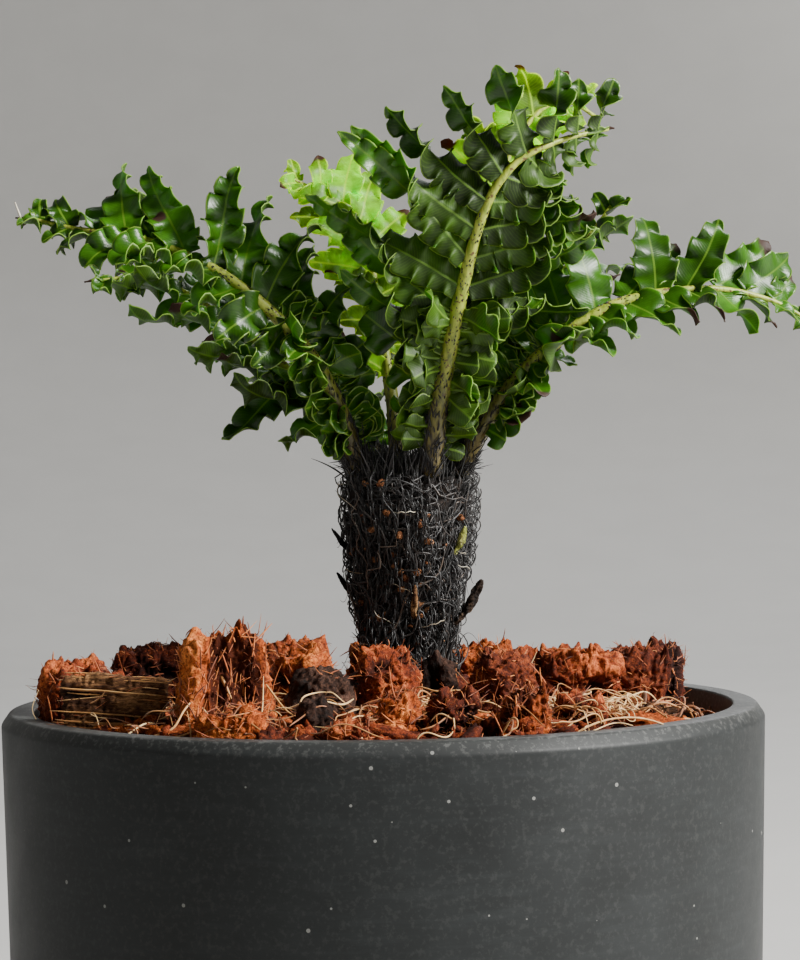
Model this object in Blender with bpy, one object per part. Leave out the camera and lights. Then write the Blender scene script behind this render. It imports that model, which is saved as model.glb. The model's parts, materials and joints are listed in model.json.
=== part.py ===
"""A crisped dwarf tree fern, potted in coconut husk chips. Metres, +Z up, origin under the pot's middle.

A thick-walled round pot holds a growing medium. A short trunk wrapped in wiry roots, whose own root mass
is buried in the medium, carries nine fronds. Each frond is a stalk with a row of leaflets on either side.
Husk chips lie loose on the medium.
"""

import math
from dataclasses import dataclass
from random import Random

import bmesh
import bpy
from mathutils import Matrix, Vector
from mathutils.bvhtree import BVHTree

MM = 0.001
GAP = 0.3 * MM  # between neighbouring solids that touch
POCKET_GAP = 0.4 * MM  # round the roots

# Pot
POT_RADIUS = 65.0 * MM  # outside, under the rim's chamfer
POT_BASE_RADIUS = POT_RADIUS - 2.5 * MM
POT_HEIGHT = 120.0 * MM
POT_WALL = 5.5 * MM
POT_FLOOR = 5.0 * MM
RIM_CHAMFER_WIDTH = 1.4 * MM
RIM_CHAMFER_HEIGHT = 2.0 * MM
FOOT_CHAMFER = 1.5 * MM
POT_SIDES = 64
DRAIN_SLITS = 6
DRAIN_SLIT_LENGTH = 16.0 * MM
DRAIN_SLIT_WIDTH = 3.0 * MM
DRAIN_CIRCLE_RADIUS = 34.0 * MM

# Growing medium
MEDIUM_BELOW_RIM = 7.5 * MM  # at the wall
MEDIUM_RISE = 4.0 * MM  # from the wall to the middle
MEDIUM_RINGS = 6
MEDIUM_SIDES = 32

# Trunk and roots
TRUNK_OFFSET = Vector((4.2, 0.0)) * MM  # where the trunk stands, from the pot's axis
TRUNK_LEAN = Vector((0.6, 0.0)) * MM  # how far its top is off its foot
TRUNK_HEIGHT = 43.0 * MM  # its top, above the medium's wall level plus the rise
TRUNK_BURIED = 16.0 * MM
TRUNK_FOOT_RADIUS = 7.2 * MM
TRUNK_TOP_RADIUS = 11.3 * MM
TRUNK_LUMPS = 0.04  # how far the trunk's outline wanders, as a share of its radius
TRUNK_SIDES = 16
TRUNK_RINGS = 9
STUB_GAP = 1.3 * GAP  # a stub's foot spans the trunk's facets
ROOT_MASS_RADIUS = 26.0 * MM
ROOT_MASS_HEIGHT = 44.0 * MM

# Fronds
FROND_SIZE = 1.0  # scales every frond's path and leaflets
STALK_SIDES = 6
STALK_RINGS = 18
STALK_TIP_RADIUS = 0.35 * MM
LEAFLET_THICKNESS = 0.7 * MM
WEB_WIDTH = 0.8 * MM  # the strip along the stalk that the leaflets grow from
WEB_GAP = 1.5 * GAP  # from the stalk, whose facets cut the inside of a bend
LEAFLET_FILL = 0.84  # the leaflet's width, as a share of the spacing
LEAFLET_SHORTEST = 2.2 * MM
LEAFLET_SCALES = (1.0, 0.85, 0.7, 0.56, 0.44, 0.34)  # tried in turn until one is clear
LEAFLET_CLEAR = LEAFLET_THICKNESS + GAP

# Husk chips
CHIP_STEP = 0.4 * MM  # the step by which a chip is moved until it is clear
CHIP_UNIT = POT_RADIUS / 65.0  # of a chip's sizes: 1 mm here, and a smaller pot takes a finer grade


@dataclass
class Frond:
    """One frond. Its path starts on the trunk's top and runs through offsets from the top's middle, mm."""

    name: str
    turn: float  # where it leaves the trunk, in degrees from +X towards +Y
    ring: float  # how far out it leaves, as a share of the trunk's top radius
    path: tuple
    face: tuple  # roughly where its upper side looks
    stalk_radius: float  # at its foot, mm
    leaflets: int  # on each side
    leaflet_lengths: tuple  # the longest on the left and on the right, mm
    first: float  # where the leaflets start, as a share of the path
    sweep: tuple  # the leaflets' lean towards the tip, at the foot and at the tip, degrees
    cup: float  # how far the leaflets rise out of the frond's plane, degrees
    young: bool = False
    last: float = 0.965  # where the leaflets end, as a share of the path
    lengthens: float = 0.42  # the leaflets reach full length here, from the first at 0 to the last at 1
    shortens: float = 0.70  # and begin to shorten here


FRONDS = (
    Frond(
        "front", -66, 0.80,
        ((5.8, -12, 14), (9, -16, 29), (13, -20.5, 43), (18, -22, 50.5), (25.5, -19.5, 54.5),
         (34, -13, 57)),
        (-0.1, 0.85, 0.5), 2.0, 14, (22, 29), 0.10, (30, 14), 8, shortens=0.30,
    ),
    Frond(
        "left", 202, 0.80,
        ((-12, -7, 12), (-18, -11, 22.5), (-29.5, -13.5, 33), (-42.5, -13, 39.3), (-56, -9.5, 42),
         (-64, -8, 44)),
        (0.25, -0.7, 0.65), 1.8, 14, (10.5, 16), 0.10, (8, 36), 16,
    ),
    Frond(
        "right", -17, 0.80,
        ((13.5, -6, 9), (22, -8, 19), (34.8, -7.2, 27.8), (50, -4, 30.6), (61.6, 0, 29), (70, 3, 25)),
        (-0.2, -0.75, 0.6), 1.8, 13, (15, 9.5), 0.12, (8, 42), 14, lengthens=0.24,
    ),
    Frond(
        "left_low", 156, 0.80,
        ((-14, 9, 10), (-24, 14.5, 21), (-37, 19, 31), (-46, 20, 35), (-55.5, 18, 34.5)),
        (0.2, -0.45, 0.85), 1.7, 12, (15, 11), 0.10, (-14, 36), 0, lengthens=0.16,
    ),
    Frond(
        "middle", 18, 0.27,
        ((5.6, -0.5, 13), (9.5, -2, 31), (14.5, -3.5, 46), (19, -3.5, 56), (24, -1.5, 62), (29, 1, 63),
         (33, 4, 61)),
        (-0.35, 0.8, 0.45), 1.6, 11, (10, 10), 0.34, (10, 40), 12, young=True, last=0.94,
    ),
    Frond(
        "left_up", 110, 0.47,
        ((-2.5, 7, 12), (-4.6, 9.5, 26), (-6.5, 12, 39), (-11, 13, 47), (-20.5, 11.5, 52)),
        (0.3, -0.75, 0.55), 1.5, 10, (10, 10), 0.30, (8, 38), 10, young=True,
    ),
    Frond(
        "right_back", 36, 0.80,
        ((13.5, 11.5, 12), (20.5, 18, 24), (27.5, 24, 34), (33.5, 28, 42), (38, 31, 48)),
        (-0.35, -0.6, 0.7), 1.7, 10, (14, 14), 0.12, (4, 42), 12,
    ),
    Frond(
        "back_left", 118, 0.80,
        ((-9.5, 20, 10), (-18, 34, 19), (-25.5, 48, 24), (-33, 62, 22.5)),
        (0.25, -0.5, 0.85), 1.7, 11, (14, 14), 0.12, (4, 40), 10,
    ),
    Frond(
        "back_right", 74, 0.80,
        ((6.5, 22, 12), (12, 38, 22.5), (18.5, 54, 28), (25, 68, 25)),
        (-0.2, -0.5, 0.85), 1.7, 11, (14, 14), 0.12, (4, 40), 10,
    ),
)


@dataclass
class Stub:
    """The stump of an old stalk, or a new shoot, standing out of the trunk's side."""

    name: str
    turn: float  # degrees from +X towards +Y
    height: float  # of its foot, as a share of the trunk's showing height
    length: float  # mm
    radius: float  # mm
    rise: float  # degrees above level


STUBS = (
    Stub("old_stalk_right", -14, 0.40, 8.5, 1.2, 63),
    Stub("old_stalk_left", 188, 0.67, 6.0, 0.6, 56),
    Stub("old_stalk_left_low", 184, 0.50, 5.5, 0.7, 58),
    Stub("old_stalk_front", -84, 0.43, 6.0, 0.7, 74),
    Stub("side_shoot", -36, 0.68, 5.0, 0.9, 72),
)


@dataclass
class Chip:
    """A husk chip. Its place is a share of the pot's inner radius, its sizes are in CHIP_UNIT."""

    x: float
    y: float
    size: tuple
    spin: float  # degrees about Z
    tilt: float  # degrees about its own length
    taper: float = 1.0  # the top's size beside the foot's


CHIPS = (
    Chip(-0.86, -0.14, (11, 11, 11.5), 24, 12),
    Chip(-0.75, -0.46, (15.5, 6, 11), -8, -24),
    Chip(-0.68, 0.13, (11, 10, 13), 50, 8, 0.8),
    Chip(-0.42, -0.57, (14, 9, 17.5), 10, 4, 0.62),
    Chip(-0.39, -0.80, (13, 7, 9.5), -12, 8, 0.8),
    Chip(-0.18, -0.74, (6, 6, 9.5), 18, 16, 0.7),
    Chip(-0.16, -0.46, (11, 8, 10.5), 12, 10, 0.8),
    Chip(-0.24, -0.12, (9, 9, 10.5), 64, 8, 0.8),
    Chip(0.01, -0.38, (10, 9, 12.5), 8, 8, 0.8),
    Chip(0.16, -0.25, (6.5, 5, 11.5), -14, 6, 0.7),
    Chip(0.33, -0.40, (10.5, 10, 13), 40, 6, 0.7),
    Chip(0.54, -0.18, (14, 10, 12), 16, 8, 0.78),
    Chip(0.76, -0.02, (10, 9, 14), 8, 2, 1.1),
    Chip(0.04, -0.76, (7, 6, 10), 20, 10, 0.75),
    Chip(-0.07, -0.90, (6, 4.5, 7.5), -10, 6, 0.8),
    Chip(0.19, -0.74, (7, 6, 9.5), 32, 12, 0.75),
    Chip(0.38, -0.76, (11, 8, 11), 16, 8, 0.45),
    Chip(0.52, -0.66, (7, 6, 9), 38, 14, 0.7),
    Chip(0.74, -0.46, (11, 6, 7.5), 52, 8, 0.8),
    Chip(0.02, 0.46, (15, 12, 9.5), 10, 10, 0.8),
    Chip(0.46, 0.38, (14, 12, 9), -30, 12, 0.8),
    Chip(-0.42, 0.44, (14, 11, 9.5), 36, 8, 0.8),
    Chip(0.30, 0.80, (14, 11, 10.5), -22, 10, 0.8),
    Chip(-0.30, 0.80, (14, 10, 10.5), 20, 10, 0.8),
    Chip(-0.74, 0.54, (13, 10, 9), 52, 10, 0.8),
)


def pot_radius(z):
    """Outside radius of the pot's wall at a height."""
    share = z / (POT_HEIGHT - RIM_CHAMFER_HEIGHT)
    return POT_BASE_RADIUS + (POT_RADIUS - POT_BASE_RADIUS) * min(share, 1.0)


def bore_radius(z):
    return pot_radius(z) - POT_WALL


MEDIUM_EDGE = POT_HEIGHT - MEDIUM_BELOW_RIM
TRUNK_FOOT = MEDIUM_EDGE + MEDIUM_RISE - TRUNK_BURIED
TRUNK_TOP = MEDIUM_EDGE + MEDIUM_RISE + TRUNK_HEIGHT


def medium_height(x, y):
    """Height of the medium's domed top."""
    out = min(1.0, math.hypot(x, y) / bore_radius(MEDIUM_EDGE))
    return MEDIUM_EDGE + MEDIUM_RISE * (1 - out * out)


def smooth(t):
    t = max(0.0, min(1.0, t))
    return t * t * (3 - 2 * t)


def material(name, colour, roughness):
    made = bpy.data.materials.get(name)
    if made is None:
        made = bpy.data.materials.new(name)
        made.use_nodes = True
        shader = made.node_tree.nodes["Principled BSDF"]
        shader.inputs["Base Color"].default_value = (*colour, 1.0)
        shader.inputs["Roughness"].default_value = roughness
        shader.inputs["Metallic"].default_value = 0.0
    return made


def add_object(name, bm, made_of):
    """Closes a bmesh into a named object. Returns the object."""
    bmesh.ops.recalc_face_normals(bm, faces=bm.faces)
    mesh = bpy.data.meshes.new(name)
    bm.to_mesh(mesh)
    bm.free()
    mesh.materials.append(made_of)
    obj = bpy.data.objects.new(name, mesh)
    bpy.context.scene.collection.objects.link(obj)
    return obj


def cut(obj, cutter):
    """Cuts one object by another, which stays as a hidden helper."""
    cutter.hide_render = True
    cutter.display_type = "WIRE"
    modifier = obj.modifiers.new(f"cut by {cutter.name}", "BOOLEAN")
    modifier.operation = "DIFFERENCE"
    modifier.solver = "EXACT"
    modifier.object = cutter


def turned(profile, sides, centre=(0.0, 0.0)):
    """A bmesh of revolution. The profile's (radius, z) points run from axis to axis."""
    bm = bmesh.new()
    rows = []
    for radius, z in profile:
        if radius < 1e-9:
            rows.append([bm.verts.new((centre[0], centre[1], z))])
            continue
        ring = []
        for i in range(sides):
            angle = 2 * math.pi * i / sides
            x = centre[0] + radius * math.cos(angle)
            y = centre[1] + radius * math.sin(angle)
            ring.append(bm.verts.new((x, y, z)))
        rows.append(ring)
    for lower, upper in zip(rows, rows[1:]):
        bridge(bm, lower, upper)
    return bm


def bridge(bm, lower, upper):
    """Faces between two rings, either of which may be a single point."""
    count = max(len(lower), len(upper))
    for i in range(count):
        j = (i + 1) % count
        if len(lower) == 1:
            bm.faces.new((lower[0], upper[j], upper[i]))
        elif len(upper) == 1:
            bm.faces.new((lower[i], lower[j], upper[0]))
        else:
            bm.faces.new((lower[i], lower[j], upper[j], upper[i]))


def make_pot():
    profile = (
        (0.0, 0.0),
        (POT_BASE_RADIUS - FOOT_CHAMFER, 0.0),
        (pot_radius(FOOT_CHAMFER), FOOT_CHAMFER),
        (POT_RADIUS, POT_HEIGHT - RIM_CHAMFER_HEIGHT),
        (POT_RADIUS - RIM_CHAMFER_WIDTH, POT_HEIGHT),
        (bore_radius(POT_HEIGHT), POT_HEIGHT),
        (bore_radius(POT_FLOOR), POT_FLOOR),
        (0.0, POT_FLOOR),
    )
    slate = material("slate_plastic", (0.045, 0.048, 0.050), 0.55)
    pot = add_object("pot", turned(profile, POT_SIDES), slate)
    pot.data.shade_smooth()
    pot.data.set_sharp_from_angle(angle=math.radians(30))
    cutter = bmesh.new()
    for i in range(DRAIN_SLITS):
        turn = Matrix.Rotation(2 * math.pi * i / DRAIN_SLITS, 4, "Z")
        place = Matrix.Translation((DRAIN_CIRCLE_RADIUS, 0, POT_FLOOR / 2))
        size = Matrix.Diagonal((DRAIN_SLIT_LENGTH, DRAIN_SLIT_WIDTH, 2 * POT_FLOOR, 1))
        bmesh.ops.create_cube(cutter, size=1.0, matrix=turn @ place @ size)
    cut(pot, add_object("drain_slit_cutter", cutter, slate))


def root_mass_outline(grow):
    """(radius, z) up the buried root mass to the foot of the trunk, grown by a clearance."""
    foot = TRUNK_FOOT - ROOT_MASS_HEIGHT
    outline = [(0.46 * ROOT_MASS_RADIUS + grow, foot - grow)]
    for height, width in ((0.22, 0.86), (0.5, 1.0), (0.78, 0.84)):
        outline.append((ROOT_MASS_RADIUS * width + grow, foot + ROOT_MASS_HEIGHT * height))
    return outline


def make_medium():
    """The medium fills the pot, with a pocket for the root mass and the foot of the trunk."""
    low = POT_FLOOR + GAP
    edge = bore_radius(MEDIUM_EDGE) - GAP
    top = []
    for i in range(MEDIUM_RINGS, -1, -1):
        radius = edge * i / MEDIUM_RINGS
        top.append((radius, medium_height(radius, 0)))
    profile = ((0.0, low), (bore_radius(low) - GAP, low), *top)
    husk = material("husk_fibre", (0.16, 0.07, 0.035), 0.95)
    medium = add_object("growing_medium", turned(profile, MEDIUM_SIDES), husk)
    pocket = root_mass_outline(POCKET_GAP)
    well = TRUNK_FOOT_RADIUS * (1 + TRUNK_LUMPS) + POCKET_GAP
    neck = [(well, TRUNK_FOOT + POCKET_GAP), (well, POT_HEIGHT), (0.0, POT_HEIGHT)]
    hollow = turned([(0.0, pocket[0][1]), *pocket, *neck], TRUNK_SIDES, TRUNK_OFFSET)
    cut(medium, add_object("root_pocket_cutter", hollow, husk))


def trunk_centre(z):
    share = max(0.0, (z - TRUNK_FOOT) / (TRUNK_TOP - TRUNK_FOOT))
    return TRUNK_OFFSET + TRUNK_LEAN * share


def trunk_radius(z):
    """The trunk is straight in the medium and flares to its top."""
    clear = TRUNK_FOOT + TRUNK_BURIED
    share = max(0.0, (z - clear) / (TRUNK_TOP - clear))
    return TRUNK_FOOT_RADIUS + (TRUNK_TOP_RADIUS - TRUNK_FOOT_RADIUS) * share**1.6


def ring_points(radius, z, lumps):
    """One ring round the trunk's centre line, its outline wandering by the given share."""
    middle = trunk_centre(z)
    points = []
    for k in range(TRUNK_SIDES):
        angle = 2 * math.pi * k / TRUNK_SIDES
        phase = z / TRUNK_HEIGHT * 7
        wide = radius * (1 + lumps * math.sin(3 * angle + phase) * math.sin(2 * angle - 0.6 * phase))
        points.append(Vector((middle.x + wide * math.cos(angle), middle.y + wide * math.sin(angle), z)))
    return points


def make_trunk():
    """The trunk and its buried root mass, which grew as one."""
    rings = [ring_points(radius, z, 0.0) for radius, z in root_mass_outline(0.0)]
    for i in range(TRUNK_RINGS):
        z = TRUNK_FOOT + (TRUNK_TOP - TRUNK_FOOT) * i / (TRUNK_RINGS - 1)
        rings.append(ring_points(trunk_radius(z), z, TRUNK_LUMPS))
    bm = bmesh.new()
    rows = [[bm.verts.new(point) for point in ring] for ring in rings]
    bm.faces.new(reversed(rows[0]))
    bm.faces.new(rows[-1])
    for lower, upper in zip(rows, rows[1:]):
        bridge(bm, lower, upper)
    add_object("trunk", bm, material("trunk_roots", (0.020, 0.017, 0.015), 0.9))


def curve_through(points, count):
    """Evenly spaced points on a smooth curve through the given ones (a Catmull-Rom spline)."""
    ends = [points[0] * 2 - points[1], *points, points[-1] * 2 - points[-2]]
    fine = []
    steps = 16
    for a, b, c, d in zip(ends, ends[1:], ends[2:], ends[3:]):
        for i in range(steps):
            t = i / steps
            bend = (2 * a - 5 * b + 4 * c - d) * t**2
            twist = (3 * b - 3 * c + d - a) * t**3
            fine.append(0.5 * (2 * b + (c - a) * t + bend + twist))
    fine.append(points[-1].copy())
    travelled = [0.0]
    for p, q in zip(fine, fine[1:]):
        travelled.append(travelled[-1] + (q - p).length)
    found = []
    k = 0
    for i in range(count):
        target = travelled[-1] * i / (count - 1)
        while k < len(fine) - 2 and travelled[k + 1] < target:
            k += 1
        share = (target - travelled[k]) / max(travelled[k + 1] - travelled[k], 1e-12)
        found.append(fine[k].lerp(fine[k + 1], min(1.0, share)))
    return found


class Spine:
    """A frond's path with its frame: along, out to the frond's left side, and up out of its upper side."""

    samples = 60

    def __init__(self, frond):
        top = Vector((*trunk_centre(TRUNK_TOP), TRUNK_TOP))
        turn = math.radians(frond.turn)
        start = top + TRUNK_TOP_RADIUS * frond.ring * Vector((math.cos(turn), math.sin(turn), 0))
        start.z += GAP
        rest = [top + Vector(p) * MM * FROND_SIZE for p in frond.path]
        self.points = curve_through([start, *rest], self.samples + 1)
        self.length = sum((q - p).length for p, q in zip(self.points, self.points[1:]))
        self.face = Vector(frond.face).normalized()
        self.foot_radius = frond.stalk_radius * MM

    def at(self, share):
        """(point, along, left, up) at a share of the path's length."""
        place = max(0.0, min(1.0, share)) * self.samples
        k = min(int(place), self.samples - 1)
        point = self.points[k].lerp(self.points[k + 1], place - k)
        low, high = max(0, k - 1), min(self.samples, k + 2)
        along = (self.points[high] - self.points[low]).normalized()
        left = self.face.cross(along).normalized()
        return point, along, left, along.cross(left)

    def radius(self, share):
        """The stalk thins quickly at first, then evenly to its tip."""
        foot, tip = self.foot_radius, STALK_TIP_RADIUS
        return tip + (foot - tip) * (1 - share) ** 1.3


def make_stalk(frond, spine, made_of):
    """A tube along the spine whose foot lies flat on the trunk's top."""
    bm = bmesh.new()
    rows = []
    for i in range(STALK_RINGS):
        share = i / (STALK_RINGS - 1)
        point, _, left, up = spine.at(share)
        radius = spine.radius(share)
        ring = []
        for k in range(STALK_SIDES):
            angle = 2 * math.pi * k / STALK_SIDES
            corner = point + radius * (math.cos(angle) * left + math.sin(angle) * up)
            if i == 0:
                corner.z = TRUNK_TOP + GAP
            ring.append(bm.verts.new(corner))
        rows.append(ring)
    bm.faces.new(reversed(rows[0]))
    bm.faces.new(rows[-1])
    for lower, upper in zip(rows, rows[1:]):
        bridge(bm, lower, upper)
    stalk = add_object(f"frond_{frond.name}_stalk", bm, made_of)
    stalk.data.shade_smooth()
    return stalk


def length_share(frond, u):
    """A leaflet's length beside the longest, from the first leaflet at 0 to the last at 1."""
    tip_share = (u - frond.shortens) / (1 - frond.shortens)
    return (0.20 + 0.80 * smooth(u / frond.lengthens)) * (1 - 0.74 * smooth(tip_share))


def leaflet_share(frond, index):
    """Where along the path a leaflet grows."""
    return frond.first + (frond.last - frond.first) * index / (frond.leaflets - 1)


def leaflet_points(frond, spine, index, side, scale):
    """The outline of one leaflet: foot low, foot high, middle low, middle high, tip.

    Low is the edge nearer the frond's foot. The side is 1 for left and -1 for right.
    """
    u = index / (frond.leaflets - 1)
    share = leaflet_share(frond, index)
    foot_half = 0.5 * LEAFLET_FILL * (frond.last - frond.first) / (frond.leaflets - 1)
    sweep = math.radians(frond.sweep[0] + (frond.sweep[1] - frond.sweep[0]) * smooth(u * 1.25))
    cup = math.radians(frond.cup)
    longest = frond.leaflet_lengths[0 if side > 0 else 1] * MM * FROND_SIZE
    length = longest * length_share(frond, u) * scale
    edge = spine.radius(share) + WEB_GAP + WEB_WIDTH
    feet = []
    for where in (share - foot_half, share + foot_half):
        point, _, left, _ = spine.at(where)
        feet.append(point + side * left * edge)
    point, along, left, up = spine.at(share)
    out = side * left * math.cos(cup) + up * math.sin(cup)
    heading = out * math.cos(sweep) + along * math.sin(sweep)
    across = along * math.cos(sweep) - out * math.sin(sweep)
    start = point + side * left * edge
    middle = start + heading * 0.5 * length + up * 0.04 * length
    tip = start + heading * length - up * 0.02 * length
    half = min(foot_half * spine.length * math.cos(sweep) ** 0.5, 0.32 * length)
    return [*feet, middle - across * half, middle + across * half, tip]


def test_points(outline):
    """Points spread over a leaflet, to measure its distance from what is already there."""
    low, high, mid_low, mid_high, tip = outline
    steps = 6
    found = []
    for i in range(1, steps + 1):
        t = i / steps
        found += [low.lerp(mid_low, t), high.lerp(mid_high, t), mid_low.lerp(tip, t), mid_high.lerp(tip, t)]
        found.append(((low + high) / 2).lerp(tip, t))
    return found


class Placed:
    """What is already in place, as surfaces to stay clear of."""

    def __init__(self):
        self.trees = []

    def add(self, points, faces, clear):
        self.trees.append((BVHTree.FromPolygons(points, faces), clear))

    def add_object(self, obj, clear):
        corners = [obj.matrix_world @ v.co for v in obj.data.vertices]
        self.add(corners, [tuple(p.vertices) for p in obj.data.polygons], clear)

    def blocks(self, points, faces, probes):
        own = BVHTree.FromPolygons(points, faces)
        for tree, clear in self.trees:
            if own.overlap(tree) or any(tree.find_nearest(p, clear)[0] for p in probes):
                return True
        return False


LEAFLET_FACES = ((0, 1, 3, 2), (2, 3, 4))


def make_leaflets(frond, spine, side, placed, made_of):
    """One side's leaflets on their web, thickened by Solidify. Each is shortened until it is clear."""
    bm = bmesh.new()
    own = []
    last = None
    for index in range(frond.leaflets):
        outline = None
        for scale in LEAFLET_SCALES:
            points = leaflet_points(frond, spine, index, side, scale)
            if (points[4] - points[0]).length < LEAFLET_SHORTEST:
                break
            if not placed.blocks(points, LEAFLET_FACES, test_points(points)):
                outline = points
                break
        if outline is None:
            continue
        own.append(outline)
        left = spine.at(leaflet_share(frond, index))[2]
        inner = [foot - side * left * WEB_WIDTH for foot in outline[:2]]
        low_in, high_in, low, high, mid_low, mid_high, tip = (bm.verts.new(p) for p in (*inner, *outline))
        bm.faces.new((low_in, high_in, high, low))
        bm.faces.new((low, high, mid_high, mid_low))
        bm.faces.new((mid_low, mid_high, tip))
        if last:
            bm.faces.new((last[0], low_in, low, last[1]))
        last = (high_in, high)
    for outline in own:
        placed.add(outline, LEAFLET_FACES, LEAFLET_CLEAR)
    word = "left" if side > 0 else "right"
    leaflets = add_object(f"frond_{frond.name}_leaflets_{word}", bm, made_of)
    thicken = leaflets.modifiers.new("thickness", "SOLIDIFY")
    thicken.thickness = LEAFLET_THICKNESS
    thicken.offset = 0.0
    thicken.use_even_offset = False


def make_fronds():
    """All stalks first, so that every leaflet is kept clear of every stalk."""
    placed = Placed()
    placed.add_object(bpy.data.objects["trunk"], LEAFLET_CLEAR)
    grown = material("frond_green", (0.05, 0.16, 0.02), 0.4)
    fresh = material("young_frond_green", (0.30, 0.45, 0.03), 0.45)
    stem = material("stalk_green", (0.42, 0.45, 0.14), 0.5)
    spines = [(frond, Spine(frond)) for frond in FRONDS]
    for frond, spine in spines:
        stalk = make_stalk(frond, spine, stem)
        placed.add_object(stalk, LEAFLET_THICKNESS / 2 + GAP / 2)
    for frond, spine in spines:
        for side in (1, -1):
            make_leaflets(frond, spine, side, placed, fresh if frond.young else grown)


def make_stub(stub, trunk):
    """A tapered stump. Its foot lies flat against the trunk's side, found from the trunk's own faces."""
    clear = TRUNK_FOOT + TRUNK_BURIED
    z = clear + stub.height * (TRUNK_TOP - clear)
    turn = math.radians(stub.turn)
    rise = math.radians(stub.rise)
    outward = Vector((math.cos(turn), math.sin(turn), 0))
    sideways = Vector((0, 0, 1)).cross(outward)
    heading = outward * math.cos(rise) + Vector((0, 0, math.sin(rise)))
    normal = heading.cross(sideways)
    middle = Vector((*trunk_centre(z), z))
    bm = bmesh.new()
    rows = []
    for share, width in ((0.0, 1.0), (0.45, 0.85), (0.85, 0.6), (1.0, 0.3)):
        ring = []
        for k in range(6):
            angle = 2 * math.pi * k / 6
            off = stub.radius * MM * width * (math.cos(angle) * sideways + math.sin(angle) * normal)
            corner = middle + outward * TRUNK_TOP_RADIUS + heading * stub.length * MM * share + off
            ring.append(corner)
        rows.append(ring)
    touch = []
    for corner in rows[0]:
        start = corner + outward * TRUNK_TOP_RADIUS
        touch.append(trunk.ray_cast(start, -outward)[0] + outward * STUB_GAP)
    setback = max((t - c).dot(outward) for t, c in zip(touch, rows[0]))
    rows = [[corner + outward * setback for corner in ring] for ring in rows]
    for ring in rows[1:]:
        for k, corner in enumerate(ring):
            hit = trunk.ray_cast(corner + outward * TRUNK_TOP_RADIUS, -outward)[0]
            lack = (hit - corner).dot(outward) + STUB_GAP if hit else 0.0
            ring[k] = corner + outward * max(0.0, lack)
    rows[0] = touch
    rows = [[bm.verts.new(corner) for corner in ring] for ring in rows]
    bm.faces.new(reversed(rows[0]))
    bm.faces.new(rows[-1])
    for lower, upper in zip(rows, rows[1:]):
        bridge(bm, lower, upper)
    if stub.name == "side_shoot":
        add_object(stub.name, bm, material("new_shoot", (0.60, 0.58, 0.18), 0.6))
    else:
        add_object(stub.name, bm, material("old_stalk", (0.07, 0.045, 0.03), 0.9))


def make_stubs():
    trunk = bpy.data.objects["trunk"]
    corners = [v.co.copy() for v in trunk.data.vertices]
    tree = BVHTree.FromPolygons(corners, [tuple(p.vertices) for p in trunk.data.polygons])
    for stub in STUBS:
        make_stub(stub, tree)


def rest_on_medium(corners, shift):
    """Sets the height at which a chip just clears the medium."""
    shift.z = max(medium_height(c.x + shift.x, c.y + shift.y) - c.z for c in corners) + GAP


def make_chip(number, chip, pot, trunk, placed):
    """An irregular block with chipped edges, slid clear of pot and trunk and laid on the chips below it."""
    chance = Random(number)
    bm = bmesh.new()
    bmesh.ops.create_cube(bm, size=1.0)
    for corner in bm.verts:
        narrow = chip.taper if corner.co.z > 0 else 1.0
        jitter = Vector([chance.uniform(-0.09, 0.09) for _ in range(3)])
        corner.co = Vector((corner.co.x * narrow, corner.co.y * narrow, corner.co.z)) + jitter
        corner.co = Vector([c * s * CHIP_UNIT for c, s in zip(corner.co, chip.size)])
    chipped = 0.12 * min(chip.size) * CHIP_UNIT
    bmesh.ops.bevel(bm, geom=bm.edges[:], offset=chipped, segments=1, affect="EDGES")
    bmesh.ops.triangulate(bm, faces=bm.faces)
    spin = Matrix.Rotation(math.radians(chip.spin), 4, "Z")
    turn = spin @ Matrix.Rotation(math.radians(chip.tilt), 4, "X")
    bmesh.ops.transform(bm, matrix=turn, verts=bm.verts)
    corners = [v.co.copy() for v in bm.verts]
    faces = [tuple(v.index for v in face.verts) for face in bm.faces]
    inside = bore_radius(MEDIUM_EDGE)
    shift = Vector((chip.x * inside, chip.y * inside, 0))
    rest_on_medium(corners, shift)
    while pot.blocks([c + shift for c in corners], faces, [c + shift for c in corners]):
        shift.xy -= shift.xy.normalized() * CHIP_STEP
        rest_on_medium(corners, shift)
    while trunk.blocks([c + shift for c in corners], faces, [c + shift for c in corners]):
        shift.xy += (shift.xy - TRUNK_OFFSET).normalized() * CHIP_STEP
        rest_on_medium(corners, shift)
    while True:
        points = [c + shift for c in corners]
        if not placed.blocks(points, faces, points):
            break
        shift.z += CHIP_STEP
    bmesh.ops.translate(bm, vec=shift, verts=bm.verts)
    placed.add(points, faces, GAP)
    shades = ((0.33, 0.12, 0.05), (0.20, 0.08, 0.04), (0.42, 0.17, 0.07))
    shade = number % len(shades)
    add_object(f"husk_chip_{number:02d}", bm, material(f"husk_{shade}", shades[shade], 0.9))


def make_chips():
    pot = Placed()
    pot.add_object(bpy.data.objects["pot"], GAP)
    trunk = Placed()
    trunk.add_object(bpy.data.objects["trunk"], GAP)
    for stub in STUBS:
        trunk.add_object(bpy.data.objects[stub.name], GAP)
    placed = Placed()
    for number, chip in enumerate(CHIPS, 1):
        make_chip(number, chip, pot, trunk, placed)


def main():
    for obj in list(bpy.data.objects):
        bpy.data.objects.remove(obj)
    make_pot()
    make_medium()
    make_trunk()
    make_stubs()
    make_fronds()
    make_chips()


main()
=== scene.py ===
"""Looks of a potted dwarf tree fern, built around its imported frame. Metres, +Z up.

Every visible surface is made here: crisped leaflets, hairy stalks, the trunk's web of wiry roots, coconut
husk with its loose fibres, and a moulded pot. Each piece stands in the place of its CAD node.
"""

import json
import math
from dataclasses import dataclass
from itertools import product

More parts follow.
